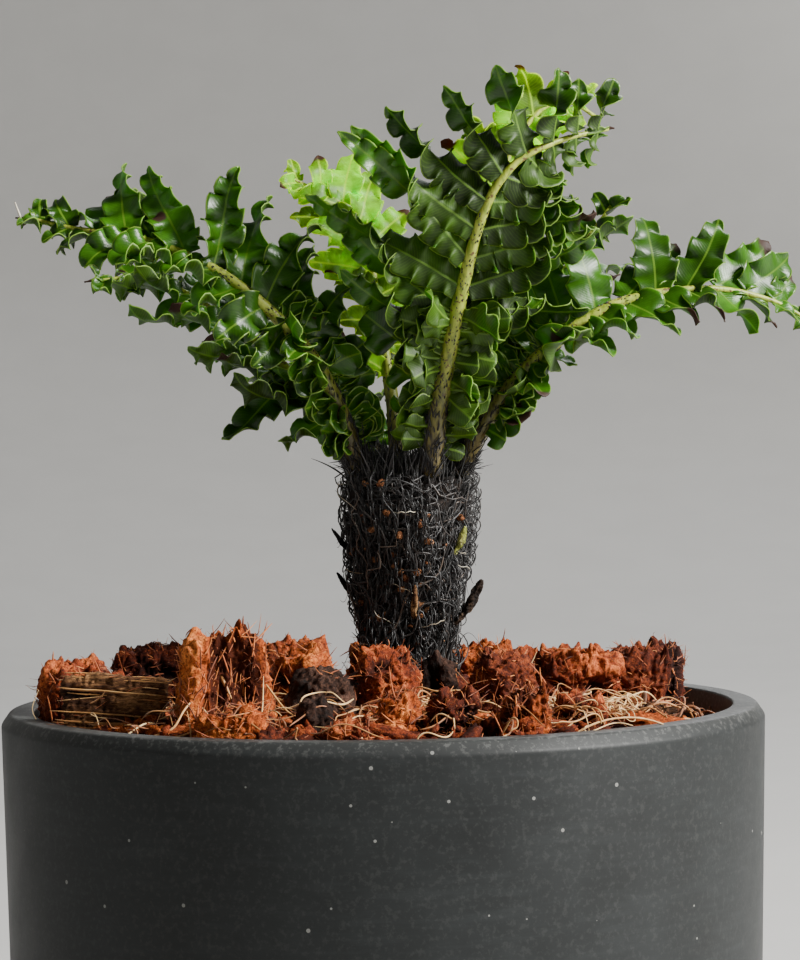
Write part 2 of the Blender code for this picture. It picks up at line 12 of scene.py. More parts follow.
import bmesh
import bpy
import numpy as np
from mathutils import Matrix, Vector
from mathutils.bvhtree import BVHTree
from mathutils.kdtree import KDTree


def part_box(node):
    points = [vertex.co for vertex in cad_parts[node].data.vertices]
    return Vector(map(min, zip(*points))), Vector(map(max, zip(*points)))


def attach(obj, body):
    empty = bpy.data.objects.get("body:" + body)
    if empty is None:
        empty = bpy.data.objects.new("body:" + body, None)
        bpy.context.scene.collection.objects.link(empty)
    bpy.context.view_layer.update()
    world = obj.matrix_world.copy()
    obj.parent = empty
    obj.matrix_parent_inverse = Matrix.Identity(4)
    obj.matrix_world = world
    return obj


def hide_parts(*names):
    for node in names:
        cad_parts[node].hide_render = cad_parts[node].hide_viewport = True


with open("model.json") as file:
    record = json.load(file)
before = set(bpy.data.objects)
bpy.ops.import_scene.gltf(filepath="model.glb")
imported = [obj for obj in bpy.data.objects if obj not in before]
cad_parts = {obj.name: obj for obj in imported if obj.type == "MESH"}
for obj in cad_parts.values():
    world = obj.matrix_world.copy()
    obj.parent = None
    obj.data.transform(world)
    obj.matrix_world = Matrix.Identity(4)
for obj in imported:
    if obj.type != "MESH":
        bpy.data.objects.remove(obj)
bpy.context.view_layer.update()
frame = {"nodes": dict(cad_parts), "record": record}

MM = 0.001

# Sizes that part.py was built with. What a box can tell is read from the frame.
POT_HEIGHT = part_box("pot")[1].z
POT_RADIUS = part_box("pot")[1].x
POT_TAPER = 2.5 * MM  # the base is this much narrower
POT_WALL = 5.5 * MM
POT_FLOOR = 5.0 * MM
RIM_CHAMFER_WIDTH = 1.4 * MM
RIM_CHAMFER_HEIGHT = 2.0 * MM
TRUNK_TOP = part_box("trunk")[1].z
TRUNK_TOP_CENTRE = Vector((4.8, 0.0, 0.0)) * MM
TRUNK_FOOT_CENTRE = Vector((4.2, 0.0, 0.0)) * MM
TRUNK_TOP_RADIUS = 11.3 * MM
ROOT_REACH = 11.0 * MM  # the radius at which a root's way round the trunk is turned into an angle
MEDIUM_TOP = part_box("growing_medium")[1].z
MEDIUM_RISE = 4.0 * MM  # from the wall to the middle
GAP = 0.3 * MM  # between a stalk's foot and the trunk's top


# ---------------------------------------------------------------- numbers


def chance(seed):
    return np.random.default_rng(seed)


def smooth(t):
    t = np.clip(t, 0.0, 1.0)
    return t * t * (3 - 2 * t)


def unit(vectors):
    return vectors / np.maximum(np.linalg.norm(vectors, axis=-1, keepdims=True), 1e-12)


def noise(points, size, seed=0):
    """Smooth noise from -1 to 1 that changes over about one size."""
    place = np.asarray(points) / size + 31.7 * seed
    cell = np.floor(place).astype(np.int64)
    part = place - cell
    part = part * part * (3 - 2 * part)
    total = np.zeros(place.shape[:-1])
    for corner in product((0, 1), repeat=3):
        at = cell + corner
        mixed = at[..., 0] * 73856093 ^ at[..., 1] * 19349663 ^ at[..., 2] * 83492791 ^ seed * 2654435
        mixed = (mixed ^ (mixed >> 13)) * 1274126177 & 0xFFFFFFFF
        value = ((mixed ^ (mixed >> 15)) & 0xFFFF) / 32767.5 - 1
        total += value * np.prod(np.where(np.array(corner) == 1, part, 1 - part), axis=-1)
    return total


def thickness(draw, count, low, high, shares):
    """Radii of many fibres, each with its own size (mm) and all with the same shares of it along them."""
    return (draw.uniform(low, high, count) * MM)[:, None] * np.asarray(shares)


def curve_through(points, count):
    """Evenly spaced points on a smooth curve through the given ones (a Catmull-Rom spline)."""
    points = np.asarray(points, float)
    ends = np.vstack([points[0] * 2 - points[1], points, points[-1] * 2 - points[-2]])
    t = (np.arange(16) / 16)[:, None]
    fine = []
    for a, b, c, d in zip(ends, ends[1:], ends[2:], ends[3:]):
        bend = (2 * a - 5 * b + 4 * c - d) * t**2
        twist = (3 * b - 3 * c + d - a) * t**3
        fine.append(0.5 * (2 * b + (c - a) * t + bend + twist))
    fine = np.vstack([*fine, points[-1]])
    travelled = np.concatenate([[0], np.cumsum(np.linalg.norm(np.diff(fine, axis=0), axis=1))])
    wanted = np.linspace(0, travelled[-1], count)
    return np.stack([np.interp(wanted, travelled, fine[:, k]) for k in range(3)], axis=1)


# ---------------------------------------------------------------- meshes


class Shapes:
    """Many closed shapes gathered into one mesh, with values per point for the materials to read."""

    def __init__(self, *values):
        self.names = values
        self.points = []
        self.faces = {3: [], 4: []}
        self.values = {name: [] for name in values}
        self.count = 0

    def add(self, points, quads=(), triangles=(), **values):
        points = np.asarray(points, float).reshape(-1, 3)
        for sides, faces in ((4, quads), (3, triangles)):
            if len(faces):
                self.faces[sides].append(np.asarray(faces, np.int64).reshape(-1, sides) + self.count)
        for name in self.names:
            self.values[name].append(np.broadcast_to(np.asarray(values[name], float).ravel(), len(points)))
        self.points.append(points)
        self.count += len(points)

    def object(self, name, look):
        points = np.vstack(self.points)
        parts = [np.vstack(self.faces[sides]) for sides in (3, 4) if self.faces[sides]]
        corners = np.concatenate([part.ravel() for part in parts])
        totals = np.concatenate([np.full(len(part), part.shape[1]) for part in parts])
        mesh = bpy.data.meshes.new(name)
        mesh.vertices.add(len(points))
        mesh.vertices.foreach_set("co", points.astype(np.float32).ravel())
        mesh.loops.add(len(corners))
        mesh.loops.foreach_set("vertex_index", corners.astype(np.int32))
        mesh.polygons.add(len(totals))
        mesh.polygons.foreach_set("loop_start", (np.cumsum(totals) - totals).astype(np.int32))
        mesh.update(calc_edges=True)
        mesh.validate()
        for value in self.names:
            attribute = mesh.attributes.new(value, "FLOAT", "POINT")
            attribute.data.foreach_set("value", np.concatenate(self.values[value]).astype(np.float32))
        mesh.shade_smooth()
        mesh.materials.append(MATERIALS[look])
        made = bpy.data.objects.new(name, mesh)
        bpy.context.scene.collection.objects.link(made)
        return made

    def piece(self, name, look, slot, *nodes):
        settle(self.object(name, look), slot, *nodes)


def tubes(paths, radii, sides):
    """Closed tubes along (tubes, rings, 3) paths. Returns points, quads, triangles and shares along."""
    count, rings, _ = paths.shape
    radii = np.broadcast_to(radii, (count, rings))
    along = unit(np.gradient(paths, axis=1))
    out = np.empty_like(paths)
    helper = np.where(np.abs(along[:, 0, 2:3]) < 0.8, [[0.0, 0.0, 1.0]], [[1.0, 0.0, 0.0]])
    out[:, 0] = unit(np.cross(along[:, 0], helper))
    for i in range(1, rings):
        before = out[:, i - 1]
        out[:, i] = unit(before - (before * along[:, i]).sum(-1, keepdims=True) * along[:, i])
    over = np.cross(along, out)
    angle = 2 * np.pi * np.arange(sides) / sides
    around = np.cos(angle)[:, None] * out[:, :, None] + np.sin(angle)[:, None] * over[:, :, None]
    ring = paths[:, :, None] + radii[:, :, None, None] * around
    ends = np.stack([paths[:, 0] - along[:, 0] * radii[:, :1] * 0.6,
                     paths[:, -1] + along[:, -1] * radii[:, -1:] * 0.6], axis=1)
    points = np.concatenate([ring.reshape(count, -1, 3), ends], axis=1)
    share = np.repeat(np.linspace(0, 1, rings), sides)
    shares = np.tile(np.concatenate([share, [0.0, 1.0]]), count)
    k = np.arange(sides)
    after = (k + 1) % sides
    row = (np.arange(rings - 1) * sides)[:, None]
    quads = np.stack([row + k, row + after, row + sides + after, row + sides + k], -1).reshape(-1, 4)
    last = (rings - 1) * sides
    caps = np.vstack([np.stack([np.full(sides, rings * sides), after, k], 1),
                      np.stack([np.full(sides, rings * sides + 1), last + k, last + after], 1)])
    shift = (np.arange(count) * (rings * sides + 2))[:, None, None]
    return points.reshape(-1, 3), (quads + shift).reshape(-1, 4), (caps + shift).reshape(-1, 3), shares


def add_tubes(shapes, paths, radii, sides, tone):
    """Adds tubes with a tone for each and the share along them."""
    points, quads, triangles, shares = tubes(paths, radii, sides)
    each = len(points) // len(paths)
    shapes.add(points, quads, triangles, tone=np.repeat(tone, each), share=shares)


def make_fibres(name, look, slot, paths, radii, sides, tone):
    """A piece made of tubes alone."""
    shapes = Shapes("tone", "share")
    add_tubes(shapes, paths, radii, sides, tone)
    shapes.piece(name, look, slot)


def turned(profile, sides):
    """Points, quads and triangles of a solid of revolution, from axis to axis and outside down to up."""
    angle = 2 * np.pi * np.arange(sides) / sides
    circle = np.stack([np.cos(angle), np.sin(angle), np.zeros(sides)], 1)
    points, rows, quads, triangles = [], [], [], []
    for radius, z in profile:
        start = sum(len(p) for p in points)
        if radius < 1e-9:
            points.append(np.array([[0.0, 0.0, z]]))
            rows.append(np.full(sides, start))
        else:
            points.append(circle * radius + [0, 0, z])
            rows.append(start + np.arange(sides))
    for low, high in zip(rows, rows[1:]):
        low_next, high_next = np.roll(low, -1), np.roll(high, -1)
        if low[0] == low[1]:
            triangles.append(np.stack([low, high_next, high], 1))
        elif high[0] == high[1]:
            triangles.append(np.stack([low, low_next, high], 1))
        else:
            quads.append(np.stack([low, low_next, high_next, high], 1))
    return np.vstack(points), np.vstack(quads), np.vstack(triangles)


def mesh_arrays(mesh):
    points = np.empty(len(mesh.vertices) * 3)
    mesh.vertices.foreach_get("co", points)
    normals = np.empty(len(mesh.vertices) * 3)
    mesh.vertices.foreach_get("normal", normals)
    return points.reshape(-1, 3), normals.reshape(-1, 3)


def remeshed(node, voxel, name, look, rounds=0):
    """A fine closed copy of a CAD node, its corners worn round, for its surface to be worked."""
    mesh = frame["nodes"][node].data.copy()
    mesh.materials.clear()
    welded = bmesh.new()
    welded.from_mesh(mesh)
    bmesh.ops.remove_doubles(welded, verts=welded.verts, dist=1e-6)
    welded.to_mesh(mesh)
    welded.free()
    made = bpy.data.objects.new(name, mesh)
    bpy.context.scene.collection.objects.link(made)
    remesh = made.modifiers.new("remesh", "REMESH")
    remesh.mode = "VOXEL"
    remesh.voxel_size = voxel
    if rounds:
        worn = made.modifiers.new("worn", "SMOOTH")
        worn.factor = 0.8
        worn.iterations = rounds
    evaluated = made.evaluated_get(bpy.context.evaluated_depsgraph_get())
    fine = bpy.data.meshes.new_from_object(evaluated)
    made.modifiers.clear()
    made.data = fine
    fine.name = name
    fine.materials.clear()
    fine.materials.append(MATERIALS[look])
    fine.shade_smooth()
    return made


def move_points(mesh, points):
    mesh.vertices.foreach_set("co", points.ravel())
    mesh.update()


def point_value(mesh, name, values):
    attribute = mesh.attributes.new(name, "FLOAT", "POINT")
    attribute.data.foreach_set("value", np.asarray(values, np.float32))


def settle(piece, slot, *nodes):
    """Every piece rides on the only body and may stand for CAD nodes. The slot is not used."""
    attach(piece, "root")
    if nodes:
        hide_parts(*nodes)


# ---------------------------------------------------------------- materials


class Graph:
    """A material's nodes, with short ways to make the ones used here."""

    def __init__(self, name):
        self.material = bpy.data.materials.new(name)
        self.material.use_nodes = True
        self.tree = self.material.node_tree
        self.tree.nodes.clear()
        self.output = self.tree.nodes.new("ShaderNodeOutputMaterial")

    def node(self, kind, inputs=(), output=0, **settings):
        made = self.tree.nodes.new(kind)
        for name, value in settings.items():
            setattr(made, name, value)
        for name, value in dict(inputs).items():
            self.feed(made.inputs[name], value)
        return made.outputs[output]

    def feed(self, socket, value):
        if isinstance(value, bpy.types.NodeSocket):
            self.tree.links.new(value, socket)
        elif isinstance(value, tuple) and len(value) == 3 and socket.type == "RGBA":
            socket.default_value = (*value, 1.0)
        else:
            socket.default_value = value

    def value(self, name):
        return self.node("ShaderNodeAttribute", output=2, attribute_name=name)

    def place(self, stretch=(1.0, 1.0, 1.0)):
        """The point in the object, stretched so that a pattern can run along one direction."""
        point = self.node("ShaderNodeTexCoord", output=3)
        if stretch == (1.0, 1.0, 1.0):
            return point
        return self.node("ShaderNodeMapping", {"Vector": point, "Scale": stretch})

    def noise(self, size, detail=3.0, rough=0.55, place=None):
        """Noise from 0 to 1 whose lumps are about one size across, in metres."""
        inputs = {"Vector": place or self.place(), "Scale": 1 / size, "Detail": detail, "Roughness": rough}
        return self.node("ShaderNodeTexNoise", inputs)

    def maths(self, operation, a, b=0.0, c=0.0):
        made = self.tree.nodes.new("ShaderNodeMath")
        made.operation = operation
        for socket, value in zip(made.inputs, (a, b, c)):
            self.feed(socket, value)
        return made.outputs[0]

    def plus(self, a, b):
        return self.maths("ADD", a, b)

    def times(self, a, b):
        return self.maths("MULTIPLY", a, b)

    def between(self, value, low, high, to_low=0.0, to_high=1.0):
        """The value mapped smoothly from a range to another."""
        inputs = {"Value": value, "From Min": low, "From Max": high, "To Min": to_low, "To Max": to_high}
        return self.node("ShaderNodeMapRange", inputs, interpolation_type="SMOOTHSTEP")

    def mix(self, share, a, b, how="MIX"):
        made = self.tree.nodes.new("ShaderNodeMix")
        made.data_type = "RGBA"
        made.blend_type = how
        self.feed(made.inputs[0], share)
        self.feed(made.inputs[6], a)
        self.feed(made.inputs[7], b)
        return made.outputs[2]

    def ramp(self, value, *stops):
        made = self.tree.nodes.new("ShaderNodeValToRGB")
        self.feed(made.inputs[0], value)
        points = made.color_ramp.elements
        while len(points) < len(stops):
            points.new(0.5)
        for point, (place, colour) in zip(points, stops):
            point.position = place
            point.color = (*colour, 1.0)
        return made.outputs[0]

    def bump(self, height, distance, strength=1.0, normal=None):
        inputs = {"Height": height, "Distance": distance, "Strength": strength}
        if normal is not None:
            inputs["Normal"] = normal
        return self.node("ShaderNodeBump", inputs)

    def shader(self, **inputs):
        """A Principled BSDF. Words of an input's name are joined with _."""
        return self.node("ShaderNodeBsdfPrincipled", {k.replace("_", " "): v for k, v in inputs.items()})

    def finish(self, shader):
        self.tree.links.new(shader, self.output.inputs["Surface"])
        return self.material


def scaled(colour, share):
    return tuple(share * c for c in colour)


VEIN_SPACING = 0.46  # between a leaflet's side veins, mm


def leaf_material(name, top, under, margin, vein, dry, glow, gloss, thin):
    """A waxy upper side, a dull underside, pale margins (partly a painted edge highlight) and costa, fine
    side veins and dry brown tips.
    """
    g = Graph(name)
    across, edge, along = g.value("across"), g.value("edge"), g.value("along")
    under_side, tone, brown = g.value("under"), g.value("tone"), g.value("brown")
    patches = g.noise(3.5 * MM, 3.0)
    upper = g.mix(g.between(patches, 0.3, 0.7), scaled(top, 0.72), scaled(top, 1.45))
    lower = g.mix(g.between(patches, 0.3, 0.7), scaled(under, 0.75), scaled(under, 1.3))
    colour = g.mix(under_side, upper, lower)
    shade = g.between(tone, 0.0, 1.0, 0.62, 1.4)
    grey = g.node("ShaderNodeCombineColor", {"Red": shade, "Green": shade, "Blue": shade})
    colour = g.mix(1.0, colour, grey, "MULTIPLY")
    slant = g.maths("MULTIPLY_ADD", g.maths("ABSOLUTE", across), -0.55, along)
    wander = g.maths("MULTIPLY_ADD", g.noise(1.2 * MM, 2.0), 0.25, slant)
    ribs = g.maths("SINE", g.times(wander, 2 * math.pi / VEIN_SPACING))
    rib = g.between(ribs, 0.2, 1.0)
    colour = g.mix(g.times(rib, g.between(under_side, 0, 1, 0.08, 0.16)), colour, vein)
    costa = g.between(g.maths("ABSOLUTE", across), 0.10, 0.24, 1.0, 0.0)
    colour = g.mix(g.times(costa, g.between(along, 1.0, 20.0, 0.9, 0.45)), colour, vein)
    # Pale margin: partly the leaflet's own pale edge, partly a painted highlight of light through the thin
    # edge.
    rim = g.between(edge, 0.07, 0.20, 1.0, 0.0)
    colour = g.mix(g.times(rim, 0.65), colour, margin)
    dry_edge = g.plus(brown, g.times(g.noise(1.1 * MM, 4.0), 0.35))
    dryness = g.between(dry_edge, 0.62, 0.82)
    dead = g.mix(g.noise(0.5 * MM, 3.0), (0.018, 0.008, 0.004), dry)
    colour = g.mix(dryness, colour, dead)
    rough = g.plus(g.between(under_side, 0, 1, gloss, gloss + 0.2),
                    g.times(g.noise(0.9 * MM, 3.0), 0.10))
    rough = g.plus(rough, g.times(dryness, 0.3))
    height = g.plus(g.times(rib, 0.5), g.noise(0.35 * MM, 2.0))
    normal = g.bump(height, 0.05 * MM, 0.45)
    skin = g.shader(Base_Color=colour, Roughness=rough, IOR=1.45, Specular_IOR_Level=0.55, Normal=normal)
    lit = g.mix(1.0, colour, glow, "MULTIPLY")
    through = g.node("ShaderNodeBsdfTranslucent", {"Color": lit, "Normal": normal})
    both = g.tree.nodes.new("ShaderNodeMixShader")
    both.inputs[0].default_value = thin
    g.tree.links.new(skin, both.inputs[1])
    g.tree.links.new(through, both.inputs[2])
    return g.finish(both.outputs[0])


def stalk_material():
    """Pale yellow-green, greener in streaks, browner towards the hairy foot and darkened there as painted
    shade.
    """
    g = Graph("fern_stalk")
    share = g.value("share")
    streaks = g.noise(0.6 * MM, 3.0, place=g.place((1.0, 1.0, 0.25)))
    fresh = g.ramp(streaks, (0.30, (0.15, 0.22, 0.01)), (0.50, (0.31, 0.38, 0.035)),
                   (0.72, (0.44, 0.48, 0.07)))
    # The foot's colours: its own brown, made darker as painted shade where the stalks crowd the trunk's
    # top.
    foot = g.ramp(streaks, (0.30, (0.025, 0.017, 0.006)), (0.70, (0.17, 0.13, 0.035)))
    spots = g.between(g.noise(0.8 * MM, 2.0), 0.60, 0.66)
    worn = g.mix(spots, fresh, (0.12, 0.07, 0.02))
    risen = g.between(g.plus(share, g.times(streaks, 0.15)), 0.10, 0.50)
    colour = g.mix(risen, foot, worn)
    normal = g.bump(g.noise(0.35 * MM, 3.0, place=g.place((1, 1, 0.3))), 0.08 * MM, 0.6)
    rough = g.between(streaks, 0.3, 0.7, 0.38, 0.55)
    return g.finish(g.shader(Base_Color=colour, Roughness=rough, Normal=normal, Specular_IOR_Level=0.5))


def fibre_material(name, *stops, rough=0.6, sheen=0.1):
    """Thin fibres, each with its own tone, paler and darker along it."""
    g = Graph(name)
    tone = g.plus(g.value("tone"), g.maths("MULTIPLY_ADD", g.noise(1.4 * MM, 3.0), 0.5, -0.25))
    colour = g.ramp(tone, *stops)
    normal = g.bump(g.noise(0.15 * MM, 2.0), 0.03 * MM, 0.6)
    roughness = g.between(g.noise(0.8 * MM, 2.0), 0.3, 0.7, rough - 0.12, rough + 0.12)
    return g.finish(g.shader(Base_Color=colour, Roughness=roughness, Normal=normal, Sheen_Weight=sheen))


def bark_material():
    """The trunk's peaty core under its roots."""
    g = Graph("trunk_core")
    lumps = g.noise(1.6 * MM, 5.0, 0.65)
    colour = g.ramp(lumps, (0.30, (0.003, 0.0025, 0.002)), (0.55, (0.012, 0.008, 0.006)),
                    (0.75, (0.05, 0.028, 0.016)))
    normal = g.bump(g.noise(0.5 * MM, 4.0, 0.6), 0.3 * MM, 0.8)
    return g.finish(g.shader(Base_Color=colour, Roughness=0.85, Normal=normal, Specular_IOR_Level=0.3))


def husk_material(name, dark, middle, light, grain=(1.0, 1.0, 1.0)):
    """Coir: spongy pith between fibres in warm red-browns, with painted shade in its hollows."""
    g = Graph(name)
    hollow, tone = g.value("hollow"), g.value("tone")
    place = g.place(grain)
    fine = g.noise(0.7 * MM, 5.0, 0.65, place)
    broad = g.noise(4.0 * MM, 3.0)
    mixed = g.plus(g.times(fine, 0.65), g.times(broad, 0.35))
    # On the chips the tone follows their lumps, so it also paints light on raised lumps; on other pieces it
    # is random tone.
    mixed = g.plus(mixed, g.maths("MULTIPLY_ADD", tone, 0.22, -0.11))
    colour = g.ramp(mixed, (0.36, dark), (0.54, middle), (0.70, light))
    # Painted shade: a high hollow value pulls the colour towards a darkened copy of the dark colour.
    colour = g.mix(g.between(hollow, 0.25, 0.90, 0.0, 0.85), colour, scaled(dark, 0.4))
    pores = g.noise(0.33 * MM, 4.0, 0.65, place)
    colour = g.mix(g.between(pores, 0.50, 0.62, 0.0, 0.72), colour, scaled(dark, 0.35))
    normal = g.bump(g.maths("SUBTRACT", g.noise(0.28 * MM, 4.0, 0.7, place), pores), 0.22 * MM, 0.95)
    rough = g.between(fine, 0.3, 0.7, 0.62, 0.88)
    return g.finish(g.shader(Base_Color=colour, Roughness=rough, Normal=normal, Specular_IOR_Level=0.12))


def pot_material():
    """Satin slate plastic with faint swirls, moulding haze, pale dust specks, and a paler rim band that is
    partly dust and partly painted highlight.
    """
    g = Graph("slate_pot")
    haze = g.noise(18 * MM, 4.0, 0.6)
    fine = g.noise(0.35 * MM, 3.0, 0.6)
    colour = g.ramp(haze, (0.30, (0.008, 0.0094, 0.0096)), (0.50, (0.0108, 0.0127, 0.0130)),
                    (0.72, (0.0148, 0.0173, 0.0178)))
    spin = g.noise(1.4 * MM, 3.0, 0.6, g.place((0.12, 0.12, 1.0)))
    colour = g.mix(g.between(spin, 0.45, 0.75, 0.0, 0.25), colour, (0.026, 0.030, 0.031))
    cells = g.node("ShaderNodeTexVoronoi", {"Vector": g.place(), "Scale": 1 / (4.6 * MM)})
    patchy = g.between(g.noise(26 * MM, 3.0, 0.6), 0.45, 0.62, 0.035, 0.075)
    speck = g.maths("LESS_THAN", cells, patchy)
    colour = g.mix(g.times(speck, 0.6), colour, (0.30, 0.30, 0.28))
    # Painted highlight on the rim: its top 3 mm, marked by the worn value, are painted paler all round,
    # more so in dust patches.
    worn = g.value("worn")
    dust = g.between(g.noise(0.9 * MM, 5.0, 0.7), 0.50, 0.64)
    rim_highlight_and_dust = g.times(worn, g.maths("MULTIPLY_ADD", dust, 0.30, 0.10))
    colour = g.mix(rim_highlight_and_dust, colour, (0.20, 0.20, 0.19))
    rough = g.plus(g.between(haze, 0.3, 0.7, 0.40, 0.50), g.times(fine, 0.08))
    rough = g.plus(rough, g.times(speck, 0.3))
    low = g.bump(g.noise(9 * MM, 2.0, 0.5, g.place((1, 1, 0.6))), 0.12 * MM, 0.25)
    normal = g.bump(fine, 0.02 * MM, 0.35, low)
    return g.finish(g.shader(Base_Color=colour, Roughness=rough, Normal=normal, Specular_IOR_Level=0.21))


def floor_material():
    g = Graph("pale_floor")
    colour = (0.56, 0.555, 0.54)
    shade = g.mix(g.between(g.noise(0.05, 4.0), 0.3, 0.7), scaled(colour, 0.985), scaled(colour, 1.015))
    return g.finish(g.shader(Base_Color=shade, Roughness=0.9, Specular_IOR_Level=0.2))


# ---------------------------------------------------------------- fronds


@dataclass
class Frond:
    """One frond. Its path starts on the trunk's top and runs through offsets from the top's middle, mm."""

    name: str
    turn: float  # where it leaves the trunk, in degrees from +X towards +Y
    ring: float  # how far out it leaves, as a share of the trunk's top radius
    path: tuple
    face: tuple  # roughly where its upper side looks
    stalk_radius: float  # at its foot, mm
    leaflets: int  # on each side
    leaflet_lengths: tuple  # the longest on the left and on the right, mm
    first: float  # where the leaflets start, as a share of the path
    sweep: tuple  # the leaflets' lean towards the tip, at the foot and at the tip, degrees
    cup: float  # how far the leaflets rise out of the frond's plane, degrees
    young: bool = False
    last: float = 0.965
    lengthens: float = 0.42
    shortens: float = 0.70
    # What the leaflets look like
    width: float = 1.3  # beside the spacing
    twist: tuple = (20.0, 35.0)  # of the outer half, on the left and on the right, degrees
    curl: float = 30.0  # of the tip out of the leaflet's plane, degrees
    bend: tuple = (10.0, 10.0)  # towards the frond's tip, on the left and on the right, degrees
    ruffle: float = 1.0  # height of the margin's waves, mm
    wave: float = 3.3  # length of the margin's waves, mm
    dry: float = 0.25  # how many leaflets have brown tips
    stray: float = 8.0  # how far the leaflets stand out of their row, degrees
    ears: int = 0  # small round leaflets between the others at its foot
    roll: float = 10.0  # how far the leaflets' planes tip at the stalk, like the slats of a blind, degrees


FRONDS = (
    Frond(
        "front", -66, 0.80,
        ((5.8, -12, 14), (9, -16, 29), (13, -20.5, 43), (18, -22, 50.5), (25.5, -19.5, 54.5),
         (34, -13, 57)),
        (-0.1, 0.85, 0.5), 2.0, 14, (22, 29), 0.10, (30, 14), 8, shortens=0.30,
        width=1.65, twist=(-120, 150), curl=14, bend=(22, 2), ruffle=1.5, wave=3.4, dry=0.06, stray=5,
        ears=44, roll=24,
    ),
    Frond(
        "left", 202, 0.80,
        ((-12, -7, 12), (-18, -11, 22.5), (-29.5, -13.5, 33), (-42.5, -13, 39.3), (-56, -9.5, 42),
         (-64, -8, 44)),
        (0.25, -0.7, 0.65), 1.8, 14, (10.5, 16), 0.10, (8, 36), 16,
        width=1.6, twist=(45, -60), curl=42, bend=(12, 12), ruffle=1.45, wave=3.8, dry=0.12, stray=14,
        ears=44,
    ),
    Frond(
        "right", -17, 0.80,
        ((13.5, -6, 9), (22, -8, 19), (34.8, -7.2, 27.8), (50, -4, 30.6), (61.6, 0, 29), (70, 3, 25)),
        (-0.2, -0.75, 0.6), 1.8, 13, (15, 9.5), 0.12, (8, 42), 14, lengthens=0.24,
        width=1.6, twist=(25, -70), curl=24, bend=(8, 8), ruffle=1.0, wave=4.8, dry=0.30, stray=11, ears=34,
    ),
    Frond(
        "left_low", 156, 0.80,
        ((-14, 9, 10), (-24, 14.5, 21), (-37, 19, 31), (-46, 20, 35), (-55.5, 18, 34.5)),
        (0.2, -0.45, 0.85), 1.7, 12, (15, 11), 0.10, (-14, 36), 0, lengthens=0.16,
        width=1.5, twist=(70, -40), curl=-55, bend=(14, 14), ruffle=1.25, wave=3.8, dry=0.15, stray=14,
        ears=14,
    ),
    Frond(
        "middle", 18, 0.27,
        ((5.6, -0.5, 13), (9.5, -2, 31), (14.5, -3.5, 46), (19, -3.5, 56), (24, -1.5, 62), (29, 1, 63),
         (33, 4, 61)),
        (-0.35, 0.8, 0.45), 1.6, 11, (10, 10), 0.34, (10, 40), 12, young=True, last=0.94,
        width=1.5, twist=(60, -70), curl=55, bend=(12, 12), ruffle=1.35, wave=3.4, dry=0.5,
    ),
    Frond(
        "left_up", 110, 0.47,
        ((-2.5, 7, 12), (-4.6, 9.5, 26), (-6.5, 12, 39), (-11, 13, 47), (-20.5, 11.5, 52)),
        (0.3, -0.75, 0.55), 1.5, 10, (10, 10), 0.30, (8, 38), 10, young=True,
        width=1.6, twist=(30, -30), curl=30, bend=(10, 10), ruffle=1.25, wave=3.4, dry=0.25,
    ),
    Frond(
        "right_back", 36, 0.80,
        ((13.5, 11.5, 12), (20.5, 18, 24), (27.5, 24, 34), (33.5, 28, 42), (38, 31, 48)),
        (-0.35, -0.6, 0.7), 1.7, 10, (14, 14), 0.12, (4, 42), 12,
        width=1.3, twist=(40, -60), curl=30, bend=(12, 12), ruffle=1.1, wave=3.8,
    ),
    Frond(
        "back_left", 118, 0.80,
        ((-9.5, 20, 10), (-18, 34, 19), (-25.5, 48, 24), (-33, 62, 22.5)),
        (0.25, -0.5, 0.85), 1.7, 11, (14, 14), 0.12, (4, 40), 10,
        width=1.2, twist=(50, -50), curl=30, bend=(12, 12), ruffle=1.1, wave=3.8,
    ),
    Frond(
        "back_right", 74, 0.80,
        ((6.5, 22, 12), (12, 38, 22.5), (18.5, 54, 28), (25, 68, 25)),
        (-0.2, -0.5, 0.85), 1.7, 11, (14, 14), 0.12, (4, 40), 10,
        width=1.2, twist=(50, -50), curl=30, bend=(12, 12), ruffle=1.1, wave=3.8,
    ),
)

STALK_TIP_RADIUS = 0.35 * MM
LEAFLET_SCALES = (1.0, 0.85, 0.7, 0.56, 0.44, 0.34)
WEB_EDGE = 1.25 * MM  # from the stalk's skin to where a leaflet's own length starts
LEAF_THICKNESS = 0.24 * MM
LEAF_COLUMNS = 15  # points across a leaflet
TWIST_SPAN = 0.16  # the share of a leaflet over which its twist is spread
CROWDED = 0.16  # leaflets before this share of a front frond's row are small and round
END_LEAFLETS = ("left", "right", "front", "left_low")  # fronds whose tip shows


class Spine:
    """A frond's path with its frame: along, out to the frond's left side, and up out of its upper side."""

    samples = 60

    def __init__(self, frond):
        top = np.array(TRUNK_TOP_CENTRE) + [0, 0, TRUNK_TOP]
        turn = math.radians(frond.turn)
        start = top + TRUNK_TOP_RADIUS * frond.ring * np.array([math.cos(turn), math.sin(turn), 0])
        start[2] += GAP
        self.points = curve_through([start, *(top + np.array(frond.path) * MM)], self.samples + 1)
        self.length = np.linalg.norm(np.diff(self.points, axis=0), axis=1).sum()
        self.face = unit(np.array(frond.face, float))
        self.foot_radius = frond.stalk_radius * MM

    def at(self, share):
        """(point, along, left, up) at a share of the path's length."""
        place = min(max(share, 0.0), 1.0) * self.samples
        k = min(int(place), self.samples - 1)
        point = self.points[k] + (self.points[k + 1] - self.points[k]) * (place - k)
        low, high = max(0, k - 1), min(self.samples, k + 2)
        along = unit(self.points[high] - self.points[low])
        left = unit(np.cross(self.face, along))
        return point, along, left, np.cross(along, left)

    def radius(self, share):
        return STALK_TIP_RADIUS + (self.foot_radius - STALK_TIP_RADIUS) * (1 - share) ** 1.3


